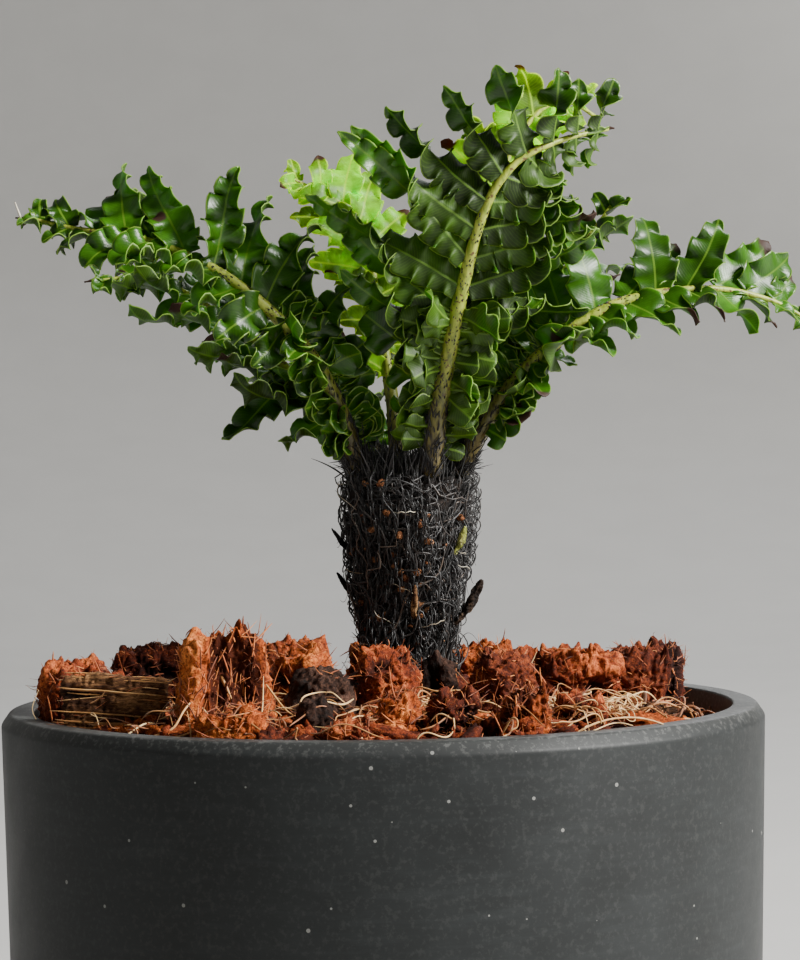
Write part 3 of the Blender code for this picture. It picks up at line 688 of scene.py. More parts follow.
def leaflet_place(frond, spine, index, side):
    """Where a leaflet starts, where it heads, which way is across it, and its CAD length before fitting."""
    u = index / (frond.leaflets - 1)
    share = frond.first + (frond.last - frond.first) * u
    sweep = math.radians(frond.sweep[0] + (frond.sweep[1] - frond.sweep[0]) * smooth(u * 1.25))
    cup = math.radians(frond.cup)
    tip_share = (u - frond.shortens) / (1 - frond.shortens)
    grown = (0.20 + 0.80 * smooth(u / frond.lengthens)) * (1 - 0.74 * smooth(tip_share))
    length = frond.leaflet_lengths[0 if side > 0 else 1] * MM * grown
    point, along, left, up = spine.at(share)
    out = side * left * math.cos(cup) + up * math.sin(cup)
    heading = out * math.cos(sweep) + along * math.sin(sweep)
    across = along * math.cos(sweep) - out * math.sin(sweep)
    return share, point, side * left, up, heading, across, length


def fitted_length(tree, start, heading, up, length):
    """The length that the CAD leaflet here was given, found by where its tip is."""
    for scale in LEAFLET_SCALES:
        tip = start + heading * length * scale - up * 0.02 * length * scale
        if tree.find(Vector(tip))[2] < 0.55 * MM:
            return length * scale
    return length * LEAFLET_SCALES[-1]


def turn_about(axis, angle, vectors):
    return vectors * math.cos(angle) + np.cross(axis, vectors) * math.sin(angle)


def leaflet_midline(start, heading, across, side, length, look, rows, draw):
    """Walks out along the costa, turning a little at each step. Returns points and frames."""
    up = np.cross(across, heading) * side
    frame_now = np.stack([heading, across, up])
    step = length / (rows - 1)
    point = start.copy()
    points, frames = [], []
    twist = math.radians(look["twist"])
    curl = math.radians(look["curl"])
    bend = math.radians(look["bend"])
    sway = draw.uniform(0, 2 * math.pi, 2)
    share = 1 / (rows - 1)
    for k in range(rows):
        t = k / (rows - 1)
        points.append(point.copy())
        frames.append(frame_now.copy())
        about_up = (bend * 2 * t + 0.35 * math.sin(7 * t + sway[0])) * share * side
        about_across = -(curl * 3 * t * t + 0.45 * math.sin(8 * t + sway[1]) - 0.10) * share * side
        hump = math.exp(-(((t - look["twist_at"]) / TWIST_SPAN) ** 2)) / (TWIST_SPAN * math.sqrt(math.pi))
        about_heading = twist * share * hump
        for axis, angle in ((2, about_up), (1, about_across), (0, about_heading)):
            frame_now = turn_about(frame_now[axis], angle, frame_now)
        frame_now = unit(frame_now)
        point = point + frame_now[0] * step
    return np.array(points), np.array(frames)


def add_leaflet(shapes, start, heading, across, side, length, half_width, look, draw):
    """One crisped leaflet, a thin closed shell whose margins ripple more than its costa."""
    rows, columns = int(np.clip(length / (0.40 * MM), 16, 66)), LEAF_COLUMNS
    mid, frames = leaflet_midline(start, heading, across, side, length, look, rows, draw)
    t = np.linspace(0, 1, rows)[:, None]
    v = np.linspace(-1, 1, columns)[None, :]
    v = np.sign(v) * np.abs(v) ** 1.1
    s = t * length / MM
    body = (0.62 + 0.38 * smooth(t / 0.22)) * (1 - t ** look["point"]) ** 0.72
    if look["ear"]:
        body = (0.45 + 0.75 * smooth((t - 0.1) / 0.5)) * np.sqrt(np.maximum(1 - t**5, 0))
    half = np.maximum(half_width * body, 0.12 * MM)
    wave = look["wave"] * draw.uniform(0.9, 1.12)
    wander = 0.9 * np.sin(2 * math.pi * s / (wave * 2.7) + draw.uniform(0, 6))
    phases = [2 * math.pi * s / wave + draw.uniform(0, 6) + wander, 0]
    phases[1] = 2 * math.pi * s / (wave * draw.uniform(0.92, 1.1)) + draw.uniform(0, 6) - wander
    phase = np.where(v < 0, phases[0], phases[1])
    fade = smooth(t / 0.10) * (1 - 0.45 * t**3) * np.minimum(1, half / (1.6 * MM))
    height = look["ruffle"] * MM * fade * draw.uniform(0.85, 1.15)
    lift = np.abs(v) ** 1.35
    crest = np.sin(phase) + 0.22 * np.sin(2 * phase + 1.0)
    z = height * lift * crest + look["gutter"] * half * (v**2 - 0.25)
    x = half * v * (1 - 0.09 * np.abs(v) * (1 + np.cos(phase)) * fade)
    along = -0.5 * height * lift * np.cos(phase)
    ahead, over, up = (frames[:, None, k] for k in range(3))
    points = mid[:, None] + over * x[..., None] + up * z[..., None] + ahead * along[..., None]
    normal = unit(np.cross(np.gradient(points, axis=1), np.gradient(points, axis=0)))
    distance = np.abs(x)
    keel = 0.30 * MM * np.exp(-((distance / (0.22 * MM)) ** 2)) * (1 - 0.8 * t)
    thick = LEAF_THICKNESS * (0.55 + 0.45 * (1 - np.abs(v) ** 4)) * np.ones_like(t)
    grooved, keeled = thick / 2 - 0.25 * keel, thick / 2 + keel
    above, below = (grooved, keeled) if side > 0 else (keeled, grooved)
    high, low = normal * above[..., None], normal * below[..., None]
    cells = np.arange(rows * columns).reshape(rows, columns)
    a, b, c, d = cells[:-1, :-1], cells[:-1, 1:], cells[1:, 1:], cells[1:, :-1]
    top = np.stack([a, b, c, d], -1).reshape(-1, 4)
    total = rows * columns
    bottom = top[:, ::-1] + total
    edge = np.concatenate([cells[0], cells[1:, -1], cells[-1, -2::-1], cells[-2:0:-1, 0]])
    after = np.roll(edge, -1)
    walls = np.stack([after, edge, edge + total, after + total], -1)
    both = np.concatenate([(points + high).reshape(-1, 3), (points - low).reshape(-1, 3)])
    under = np.repeat([0.0, 1.0] if side > 0 else [1.0, 0.0], total)
    wide = np.broadcast_to(half, points.shape[:2])
    brown = look["brown"] * smooth((t - 0.55) / 0.45) * np.ones_like(v)
    brown = brown + look["spot"] * np.exp(-(((t - 0.45) * length / MM / 1.6) ** 2) - ((v - 0.4) / 0.5) ** 2)
    shapes.add(both, np.vstack([top, bottom, walls]), across=np.tile((x / MM).ravel(), 2),
               edge=np.tile(((1 - np.abs(v)) * wide / MM).ravel(), 2),
               along=np.tile(np.broadcast_to(s, points.shape[:2]).ravel(), 2), under=under,
               tone=look["tone"], brown=np.tile(brown.ravel(), 2))


def jittered(heading, across, degrees, roll, draw):
    """A leaflet's heading and plane, turned a little out of its row."""
    across = turn_about(heading, math.radians(roll + draw.normal(0, 1.3 * degrees)), across)
    swing, tip = np.radians(draw.normal(0, degrees, 2))
    heading, across = (heading * math.cos(swing) + across * math.sin(swing),
                       across * math.cos(swing) - heading * math.sin(swing))
    normal = np.cross(heading, across)
    return unit(heading * math.cos(tip) + normal * math.sin(tip)), across


def make_leaflets(frond, spine, number):
    shapes = Shapes("across", "edge", "along", "under", "tone", "brown")
    draw = chance(100 + number)
    nodes = []
    for side, word in ((1, "left"), (-1, "right")):
        node = f"frond_{frond.name}_leaflets_{word}"
        nodes.append(node)
        corners = [v.co for v in frame["nodes"][node].data.vertices]
        tree = KDTree(len(corners))
        for i, corner in enumerate(corners):
            tree.insert(corner, i)
        tree.balance()
        sided = 0 if side > 0 else 1
        spacing = spine.length * (frond.last - frond.first) / (frond.leaflets - 1)
        for index in range(frond.leaflets):
            share, point, out, up, heading, across, length = leaflet_place(frond, spine, index, side)
            radius = spine.radius(share)
            fitted = fitted_length(tree, point + out * (radius + WEB_EDGE), heading, up, length)
            length = max(fitted, 0.85 * length, 3.4 * MM) * draw.uniform(0.94, 1.1)
            u = index / (frond.leaflets - 1)
            ear = frond.name in ("front", "left", "right") and u < CROWDED
            heading, across = jittered(heading, across, frond.stray, -side * frond.roll, draw)
            look = {
                "twist": frond.twist[sided] * draw.uniform(0.75, 1.2) * smooth((length / MM - 3) / 6),
                "twist_at": draw.uniform(0.42, 0.56),
                "curl": frond.curl * draw.uniform(0.4, 1.5),
                "bend": frond.bend[sided] * draw.uniform(0.2, 1.7),
                "ruffle": frond.ruffle * draw.uniform(0.8, 1.2),
                "wave": frond.wave,
                "gutter": draw.uniform(-0.10, 0.22),
                "point": draw.uniform(2.2, 3.6),
                "ear": ear,
                "tone": draw.uniform(0, 1),
                "brown": draw.uniform(*((0.6, 1.0) if draw.random() < frond.dry else (0, 0.25))),
                "spot": 0.9 if draw.random() < 0.05 else 0.0,
            }
            full = length + WEB_EDGE + radius * 0.5
            half = 0.5 * frond.width * spacing * (0.75 + 0.25 * smooth(length / (9 * MM)))
            half = min(half, 0.42 * full if ear else 0.36 * full)
            add_leaflet(shapes, point + out * radius * 0.5, heading, across, side, full, half, look, draw)
    if frond.name in END_LEAFLETS:
        add_end_leaflet(shapes, spine, draw)
    for _ in range(frond.ears):
        add_ear(shapes, frond, spine, draw)
    slot = "young_leaf" if frond.young else "leaf"
    shapes.piece(f"{frond.name}_leaflets", slot, slot, *nodes)


def add_end_leaflet(shapes, spine, draw):
    """The narrow leaflet that a frond ends in."""
    point, along, left, _ = spine.at(0.93)
    look = {"twist": 40, "twist_at": 0.5, "curl": 10, "bend": 0, "ruffle": 0.6, "wave": 3.0, "gutter": 0.3,
            "point": 1.6, "ear": False, "tone": 0.5, "brown": 0.95, "spot": 0.0}
    length = spine.length * 0.07 + 1.5 * MM
    add_leaflet(shapes, point, along, left, -1, length, 1.1 * MM, look, draw)


def add_ear(shapes, frond, spine, draw):
    """A small round leaflet near the frond's foot, where they crowd."""
    share = draw.uniform(0.06, 0.38)
    side = draw.choice([-1, 1])
    point, along, left, up = spine.at(share)
    out = side * left
    lean, rise = math.radians(draw.uniform(-20, 30)), math.radians(draw.uniform(-5, 55))
    if frond.face[1] > 0:
        rise = -rise
    level = out * math.cos(rise) + up * math.sin(rise)
    heading = level * math.cos(lean) + along * math.sin(lean)
    across = along * math.cos(lean) - level * math.sin(lean)
    length = draw.uniform(4.4, 7.4) * MM * (0.85 + 1.1 * share)
    look = {"twist": draw.uniform(-50, 50), "twist_at": 0.35, "curl": draw.uniform(-50, 60), "bend": 0,
            "ruffle": 0.7, "wave": 4.0, "gutter": draw.uniform(0.1, 0.5), "point": 3.0, "ear": True,
            "tone": draw.uniform(0.3, 1), "brown": 0.0, "spot": 0.0}
    start = point + out * spine.radius(share) * 0.5
    add_leaflet(shapes, start, heading, across, side, length, length * draw.uniform(0.32, 0.42), look, draw)


def make_stalk(frond, spine, number):
    """A ribbed stalk with dark scales that thicken to a fur at its foot."""
    draw = chance(200 + number)
    shapes = Shapes("tone", "share")
    rings, sides = 90, 14
    shares = np.linspace(0, 1, rings)
    path = np.array([spine.at(s)[0] for s in shares])
    path[0, 2] = path[1, 2] - 0.2 * MM
    radii = spine.radius(shares) * (1 + 0.03 * np.sin(shares * 60 + draw.uniform(0, 6)))
    radii[:3] *= 1.06
    add_tubes(shapes, path[None], radii[None], sides, [0.5])
    shapes.piece(f"{frond.name}_stalk", "stalk", "stalk", f"frond_{frond.name}_stalk")
    hairs = 520 if not frond.young else 140
    where = draw.random(hairs) ** 2.2 * 0.62
    paths = np.empty((hairs, 6, 3))
    for i, share in enumerate(where):
        point, along, left, up = spine.at(share)
        angle = draw.uniform(0, 2 * math.pi)
        out = left * math.cos(angle) + up * math.sin(angle)
        round_it = np.cross(along, out)
        furry = 1 - smooth(share / 0.26)
        length = draw.uniform(0.6, 1.25) * (0.42 + 2.1 * furry) * MM
        lean = draw.normal(0, 0.35)
        rise = draw.uniform(0.02, 0.34) * furry
        curl = draw.normal(0, 0.5)
        t = np.linspace(0, 1, 6)[:, None]
        way = along + round_it * lean
        skin = spine.radius(share) + 0.02 * MM
        bowed = way * t + round_it * curl * t * t * 0.6
        paths[i] = point + out * (skin + length * rise * t**1.5) + length * bowed
    radii = thickness(draw, hairs, 0.07, 0.15, [0.9, 1.0, 1.0, 0.8, 0.5, 0.2])
    tone = draw.random(hairs) * 0.6
    make_fibres(f"{frond.name}_stalk_scales", "root", "stalk", paths, radii, 4, tone)


# Dry threads that two fronds' tips run out into: radius, and offsets from the tip, mm
TIP_THREADS = {
    "left": (0.3, ((0, 0, 0), (-0.4, 0, -0.8), (-0.9, 0, 0.6), (-1.6, 0, 2.6))),
    "right": (0.25, ((0, 0, 0), (0.8, 0, -0.6), (1.6, 0, -1.9), (2.2, 0, -3.4))),
}


def make_tip_thread(frond, spine):
    radius, offsets = TIP_THREADS[frond.name]
    rings = 24
    path = curve_through((spine.points[-1] / MM + np.array(offsets)) * MM, rings)
    radii = (radius * MM * np.linspace(1, 0.35, rings))[None]
    make_fibres(f"{frond.name}_tip_thread", "thread", "stalk", path[None], radii, 8, [0.8])


def make_fronds():
    for number, frond in enumerate(FRONDS):
        spine = Spine(frond)
        make_stalk(frond, spine, number)
        make_leaflets(frond, spine, number)
        if frond.name in TIP_THREADS:
            make_tip_thread(frond, spine)


# ---------------------------------------------------------------- trunk


class TrunkSkin:
    """The trunk's showing surface, as a radius for every angle and height."""

    angles, levels = 64, 48

    def __init__(self):
        mesh = frame["nodes"]["trunk"].data
        faces = [tuple(polygon.vertices) for polygon in mesh.polygons]
        tree = BVHTree.FromPolygons([v.co for v in mesh.vertices], faces)
        self.low, self.high = MEDIUM_TOP - 6 * MM, TRUNK_TOP - 0.6 * MM
        self.table = np.empty((self.angles, self.levels))
        for i, j in product(range(self.angles), range(self.levels)):
            z = self.low + (self.high - self.low) * j / (self.levels - 1)
            angle = 2 * math.pi * i / self.angles
            centre = Vector(self.centre(z))
            out = Vector((math.cos(angle), math.sin(angle), 0))
            hit = tree.ray_cast(centre + out * 20 * MM, -out)[0]
            self.table[i, j] = (hit - centre).length if hit is not None else 10 * MM

    def centre(self, z):
        share = (np.asarray(z) - self.low) / (self.high - self.low)
        x = TRUNK_FOOT_CENTRE.x + (TRUNK_TOP_CENTRE.x - TRUNK_FOOT_CENTRE.x) * share
        return np.stack([x, np.zeros_like(x), np.asarray(z, float)], -1)

    def at(self, angle, z, out):
        """Points at angles and heights, a distance out of the skin."""
        i = (angle / (2 * np.pi) * self.angles) % self.angles
        top = self.levels - 1
        j = np.clip((z - self.low) / (self.high - self.low) * top, 0, top - 0.001)
        i0, j0 = np.floor(i).astype(int), np.floor(j).astype(int)
        a, b = i - i0, j - j0
        i0, i1 = i0 % self.angles, (i0 + 1) % self.angles
        radius = ((1 - a) * (1 - b) * self.table[i0, j0] + a * (1 - b) * self.table[i1, j0]
                  + (1 - a) * b * self.table[i0, j0 + 1] + a * b * self.table[i1, j0 + 1])
        way = np.stack([np.cos(angle), np.sin(angle), np.zeros_like(angle)], -1)
        radius = radius + 0.35 * MM * np.sin(3 * angle + 210 * z) + 0.3 * MM * np.sin(5 * angle - 330 * z)
        over_top = 1.2 * np.maximum(z - self.high, 0)
        return self.centre(z) + way * (radius + out - over_top)[..., None]


def roots_on_trunk(skin, draw, count, rings, length, climb, lift, wiggle, heights=(0.0, 1.0)):
    """Paths of roots that lie on the trunk. Lengths and lifts are in mm, climb is 1 for straight up."""
    t = np.linspace(0, 1, rings)[None]
    size = draw.uniform(*length, count)[:, None] * MM
    tall = skin.high - skin.low
    z = skin.low + tall * draw.uniform(*heights, count)[:, None]
    angle = draw.uniform(0, 2 * np.pi, count)[:, None]
    steep = np.clip(draw.normal(climb, 0.28, count), -1, 1)[:, None]
    handed = draw.choice([-1, 1], count)[:, None]
    flat = np.sqrt(1 - steep**2) * handed
    waves = draw.uniform(1.0, 3.2, count)[:, None]
    start = draw.uniform(0, 6.3, count)[:, None]
    sway = wiggle * MM * np.sin(waves * 2 * np.pi * t + start) * t**0.3
    z = z + size * steep * (t - 0.5) - flat * sway
    over = draw.uniform(-1.5, 1.6, count)[:, None] * MM
    z = z - np.maximum(z.max(axis=1, keepdims=True) - skin.high - over, 0)
    angle = angle + (size * flat * (t - 0.5) + steep * sway) / ROOT_REACH
    base, hump = draw.uniform(*lift, (2, count))[:, :, None] * MM
    out = base + hump * np.sin(np.pi * t) + 0.25 * MM * np.sin(5 * t + start)
    return skin.at(angle, z, np.maximum(out, -1.0 * MM))


def curly_roots(skin, draw, count, rings, length, coil, lift, heights):
    """Paths of fine roots that wind in small loops, up along the trunk and a little off it."""
    t = np.linspace(0, 1, rings)[None]
    size = draw.uniform(*length, count)[:, None] * MM
    z0 = skin.low + (skin.high - skin.low) * draw.uniform(*heights, count)[:, None]
    angle0 = draw.uniform(0, 2 * np.pi, count)[:, None]
    radius = draw.uniform(*coil, count)[:, None] * MM
    turns = size / (radius * 2 * np.pi) * 1.3
    spin = 2 * np.pi * turns * t + draw.uniform(0, 6.3, count)[:, None]
    climb = size * draw.uniform(0.35, 0.7, count)[:, None]
    z = z0 + climb * (t - 0.5) + radius * np.sin(spin)
    z = z - np.maximum(z.max(axis=1, keepdims=True) - skin.high - 1.2 * MM, 0)
    drift = draw.normal(0, 2.5, count)[:, None] * MM * t
    angle = angle0 + (drift + 0.4 * radius * np.cos(spin)) / ROOT_REACH
    out = draw.uniform(*lift, count)[:, None] * MM + radius * (1 + np.cos(spin))
    return skin.at(angle, z, out)


def make_trunk():
    draw = chance(11)
    skin = TrunkSkin()
    core = remeshed("trunk", 1.1 * MM, "trunk_core", "bark")
    points, normals = mesh_arrays(core.data)
    push = 0.9 * noise(points, 2.6 * MM, 3) + 0.5 * noise(points, 1.1 * MM, 5) - 1.1
    showing = smooth((points[:, 2] - MEDIUM_TOP + 14 * MM) / (6 * MM))
    points = points + normals * (push * showing)[:, None] * MM
    move_points(core.data, points)
    settle(core, "trunk", "trunk")

    roots = Shapes("tone", "share")
    taper = [0.7, 1.0, 1.0, 1.0, 1.0, 0.95, 0.8, 0.45]
    for count, rings, length, climb, lift, wiggle, thick in (
        (620, 12, (7, 20), 0.88, (-0.9, 0.0), 0.9, (0.13, 0.25)),
        (330, 12, (5, 14), 0.35, (-0.6, 0.5), 1.0, (0.10, 0.19)),
        (150, 14, (8, 22), 0.8, (0.0, 1.1), 1.3, (0.10, 0.17)),
    ):
        paths = roots_on_trunk(skin, draw, count, rings, length, climb, lift, wiggle)
        shares = np.interp(np.linspace(0, len(taper) - 1, rings), np.arange(len(taper)), taper)
        radii = thickness(draw, count, *thick, shares)
        add_tubes(roots, paths, radii, 5, draw.random(count))
    roots.piece("trunk_roots", "root", "trunk")

    curls = Shapes("tone", "share")
    for count, rings, length, coil, lift, heights, thick in (
        (190, 44, (8, 22), (0.45, 1.0), (-0.7, 0.4), (0.45, 1.0), (0.08, 0.13)),
        (90, 36, (5, 14), (0.4, 0.8), (-0.7, 0.3), (0.05, 0.6), (0.08, 0.12)),
    ):
        paths = curly_roots(skin, draw, count, rings, length, coil, lift, heights)
        radii = thickness(draw, count, *thick, np.ones(rings))
        add_tubes(curls, paths, radii, 4, draw.random(count) * 0.7)
    curls.piece("trunk_curls", "root", "trunk")

    make_collar(draw)
    make_scales(skin, draw)
    make_crumbs(skin, draw)
    make_threads(skin, draw)
    make_moss(skin, draw)


def make_collar(draw):
    """The fur of scales and fine roots that stands on the trunk's top, between the stalks."""
    count, rings = 620, 9
    t = np.linspace(0, 1, rings)[None, :, None]
    angle = draw.uniform(0, 2 * np.pi, count)
    out = np.sqrt(draw.uniform(0.05, 1, count)) * (TRUNK_TOP_RADIUS - 0.6 * MM)
    way = np.stack([np.cos(angle), np.sin(angle), np.zeros(count)], -1)
    start = way * out[:, None] + np.array(TRUNK_TOP_CENTRE) + [0, 0, TRUNK_TOP - 1.5 * MM]
    lean = way * draw.normal(0.05, 0.18, (count, 1)) + draw.normal(0, 0.18, (count, 3)) + [0, 0, 1]
    length = draw.uniform(3.0, 7.5, (count, 1, 1)) * MM
    bow = draw.normal(0, 0.22, (count, 1, 3))
    paths = start[:, None] + length * (unit(lean)[:, None] * t + bow * t * t)
    radii = thickness(draw, count, 0.07, 0.17, np.interp(np.arange(rings), [0, 4, 8], [0.8, 1, 0.2]))
    make_fibres("trunk_collar", "root", "trunk", paths, radii, 4, draw.random(count) * 0.85)


def make_scales(skin, draw):
    """Dark pointed scales and root ends that stand off the trunk, upward and out."""
    count, rings = 170, 8
    t = np.linspace(0, 1, rings)[None]
    angle = draw.uniform(0, 2 * np.pi, count)[:, None]
    z0 = skin.low + (skin.high - skin.low) * draw.uniform(0.12, 0.95, count)[:, None]
    length = draw.uniform(2.5, 6.5, count)[:, None] * MM
    lean = draw.uniform(0.12, 0.55, count)[:, None]
    side = draw.normal(0, 0.3, count)[:, None]
    z = np.minimum(z0 + length * t * (1 - 0.3 * lean), skin.high + 2 * MM)
    out = length * lean * t**1.4 - 0.5 * MM
    paths = skin.at(angle + side * length * t / ROOT_REACH, z, out)
    radii = thickness(draw, count, 0.16, 0.42, [0.8, 1, 1, 0.85, 0.65, 0.42, 0.22, 0.05])
    shapes = Shapes("tone", "share")
    add_tubes(shapes, paths, radii, 5, draw.random(count) * 0.8)
    strays, rings = 46, 14
    t = np.linspace(0, 1, rings)[None]
    angle = draw.uniform(0, 2 * np.pi, strays)[:, None]
    z0 = skin.low + (skin.high - skin.low) * draw.uniform(0.2, 1.0, strays)[:, None]
    reach = draw.uniform(1.5, 5.0, strays)[:, None] * MM
    hook = draw.uniform(2, 5, strays)[:, None]
    paths = skin.at(angle + 0.12 * np.sin(hook * t), z0 + reach * 0.5 * np.sin(hook * t * 1.3), reach * t)
    radii = thickness(draw, strays, 0.05, 0.10, np.linspace(1, 0.5, rings))
    add_tubes(shapes, paths, radii, 4, draw.random(strays) * 0.6)
    shapes.piece("trunk_scales", "root", "trunk")


def lump(draw, size, detail=2, rough=0.25):
    """A closed irregular grain. Returns points and triangles."""
    made = bmesh.new()
    bmesh.ops.create_icosphere(made, subdivisions=detail, radius=1.0)
    points = np.array([v.co for v in made.verts])
    triangles = np.array([[v.index for v in f.verts] for f in made.faces])
    made.free()
    seed = int(draw.integers(1, 900))
    grow = 1 + rough * noise(points, 0.9, seed) + 0.6 * rough * noise(points, 0.4, seed + 1)
    square = points / np.maximum(np.abs(points).max(axis=1, keepdims=True), 1e-9)
    points = (0.65 * points + 0.35 * square) * grow[:, None] * np.asarray(size)
    turn = np.array(Matrix.Rotation(draw.uniform(0, 6.3), 3, Vector(draw.normal(0, 1, 3)).normalized()))
    return points @ turn.T, triangles


def make_crumbs(skin, draw):
    """Crumbs of husk caught among the roots."""
    shapes = Shapes("tone", "hollow")
    for i in range(110):
        angle = draw.uniform(0, 2 * np.pi)
        if i % 3 == 0:
            angle = -1.9 + draw.normal(0, 0.5)
        z = skin.low + (skin.high - skin.low) * np.clip(draw.normal(0.58, 0.22), 0.12, 0.98)
        size = draw.uniform(0.25, 0.85) * MM * np.array([1, draw.uniform(0.5, 1), draw.uniform(0.5, 1)])
        points, triangles = lump(draw, size, rough=0.5)
        centre = skin.at(np.array([angle]), np.array([z]), np.array([draw.uniform(-0.4, 0.3) * MM]))[0]
        shapes.add(points + centre, triangles=triangles, tone=draw.random(), hollow=draw.uniform(0, 0.3))
    shapes.piece("trunk_crumbs", "husk_crumb", "trunk")


def make_threads(skin, draw):
    """A few pale threads on the trunk."""
    count, rings = 22, 30
    paths = roots_on_trunk(skin, draw, count, rings, (2.5, 8), 0.3, (0.2, 1.3), 0.12, (0.1, 1.0))
    radii = thickness(draw, count, 0.04, 0.075, np.ones(rings))
    make_fibres("trunk_threads", "thread", "trunk", paths, radii, 4, draw.random(count))


def make_moss(skin, draw):
    """Tiny moss shoots at the trunk's foot."""
    count, rings = 520, 5
    t = np.linspace(0, 1, rings)[None]
    angle = draw.normal(-1.9, 1.3, count)[:, None]
    z0 = MEDIUM_TOP + np.abs(draw.normal(1.5, 2.4, count))[:, None] * MM
    length = draw.uniform(0.4, 1.3, count)[:, None] * MM
    angle = angle + draw.normal(0, 0.03, count)[:, None] * t
    paths = skin.at(angle, z0 + length * t * 0.8, 0.4 * MM + length * 0.7 * t)
    radii = thickness(draw, count, 0.06, 0.12, [0.6, 1.0, 1.0, 0.7, 0.2])
    make_fibres("trunk_moss", "moss", "trunk", paths, radii, 4, draw.random(count))


def make_stubs():
    """The broken stalk bases and the pale bud, each worked up from its CAD solid."""
    for number, (node, material, slot, bumps) in enumerate((
        ("old_stalk_right", "stub_brown", "old_stalk", 0.22),
        ("old_stalk_left", "stub_black", "old_stalk", 0.10),
        ("old_stalk_left_low", "stub_black", "old_stalk", 0.10),
        ("old_stalk_front", "stub_tan", "old_stalk", 0.14),
        ("side_shoot", "shoot_bud", "shoot", 0.12),
    )):
        piece = remeshed(node, 0.16 * MM, f"{node}_worn", material)
        points, normals = mesh_arrays(piece.data)
        long = points * [1, 1, 0.35]
        push = bumps * (noise(long, 0.5 * MM, 20 + number) + 0.6 * noise(points, 0.25 * MM, 30 + number))
        move_points(piece.data, points + normals * push[:, None] * MM)
        point_value(piece.data, "tone", np.clip(0.5 + noise(long, 0.8 * MM, 40 + number), 0, 1))
        # Painted shade: the hollow value is high where the surface sank.
        point_value(piece.data, "hollow", np.clip(0.35 - push / bumps * 0.5, 0, 1))
        settle(piece, slot, node)


# ---------------------------------------------------------------- husk


@dataclass
class Husk:
    """How one chip looks: its mix of colours, which way its fibres run, and how ragged it is."""

    kind: str
    grain: str  # the direction its fibres run in: x, y or z of the chip's own box, or none
    ragged: float  # depth of its lumps, mm
    fibres: int
    torn: float = 1.2  # height of the tatters on its top, mm


HUSKS = {
    1: Husk("red", "z", 0.75, 90, 1.4),
    2: Husk("slab", "x", 0.5, 60, 0.8),
    3: Husk("dark", "none", 1.15, 110, 2.0),
    4: Husk("orange", "z", 1.15, 300, 3.6),
    6: Husk("bark", "z", 0.45, 12),
    7: Husk("bark", "x", 0.6, 40),
    10: Husk("bark", "z", 0.5, 20, 2.0),
    11: Husk("dark", "none", 1.15, 110, 2.2),
    12: Husk("red", "none", 1.1, 110, 2.2),
    13: Husk("dark", "z", 0.8, 150, 2.0),
    # Chip 13 sits in shade, so it is given the dark husk as painted shade.
    17: Husk("orange", "z", 0.9, 140, 2.8),
    19: Husk("slab", "x", 0.45, 60),
}
OTHER_HUSK = (Husk("red", "none", 1.05, 100, 2.0), Husk("dark", "none", 1.1, 80, 2.2),
              Husk("orange", "none", 1.0, 110, 2.0))
CHIPS = 25
GRAINS = {"x": (0.22, 1, 1), "y": (1, 0.22, 1), "z": (1, 1, 0.22), "none": (1, 1, 1)}


def chip_frame(points):
    """A chip's middle and its own directions, longest first."""
    middle = points.mean(axis=0)
    _, _, ways = np.linalg.svd(points - middle, full_matrices=False)
    return middle, ways


def make_chip(number, strands, straws, fuzz):
    node = f"husk_chip_{number:02d}"
    husk = HUSKS.get(number, OTHER_HUSK[number % 3])
    draw = chance(300 + number)
    rounds = 6 if husk.kind == "slab" else 14
    piece = remeshed(node, 0.27 * MM, f"husk_{number:02d}", f"husk_{husk.kind}", rounds)
    points, normals = mesh_arrays(piece.data)
    middle, ways = chip_frame(points)
    if husk.grain == "z":
        ways = np.stack([ways[2], ways[1], ways[0]]) if abs(ways[0][2]) > 0.6 else np.eye(3)
    local = (points - middle) @ ways.T * GRAINS[husk.grain]
    lumps = noise(local, 4.4 * MM, number) + 0.6 * noise(local, 2.0 * MM, number + 20)
    strings = 1 - 2 * np.abs(noise(local, 1.0 * MM, number + 40))
    crumbs = 1 - 2 * np.abs(noise(local, 0.62 * MM, number + 80))
    sponge = noise(points, 0.52 * MM, number + 60) + 0.6 * np.abs(noise(points, 0.9 * MM, number + 70))
    push = husk.ragged * (1.15 * lumps + 0.40 * strings + 0.42 * crumbs) + 0.34 * sponge + 0.15
    pits = smooth((-lumps - 0.30) / 0.4)
    push = push - 1.0 * husk.ragged * pits
    points = points + normals * push[:, None] * MM
    torn = np.maximum(noise(local, 1.3 * MM, number + 120), 0) * smooth((normals[:, 2] - 0.3) / 0.4)
    points[:, 2] += torn * husk.torn * MM
    move_points(piece.data, points)
    # Painted shade: the hollow value is high where the surface sank and in its pits.
    point_value(piece.data, "hollow", np.clip(0.45 - push / husk.ragged * 0.55 + 0.3 * pits, 0, 1))
    # Painted light: the tone follows the lumps, so the raised lumps are painted paler.
    point_value(piece.data, "tone", np.clip(0.5 + 0.8 * lumps, 0, 1))
    settle(piece, frame_slot(node), node)
    add_husk_fibres(strands, husk, points, normals, ways, draw)
    if husk.kind == "slab":
        add_slab_strands(straws, points, normals, middle, ways, draw)
    elif husk.kind != "bark":
        add_fuzz(fuzz, points, normals, 430, draw)


def frame_slot(node):
    """The material slot that the record gives a node."""
    for part in frame["record"]["subparts"]:
        if part["node"] == node:
            return part["material_slot"]
    raise KeyError(node)


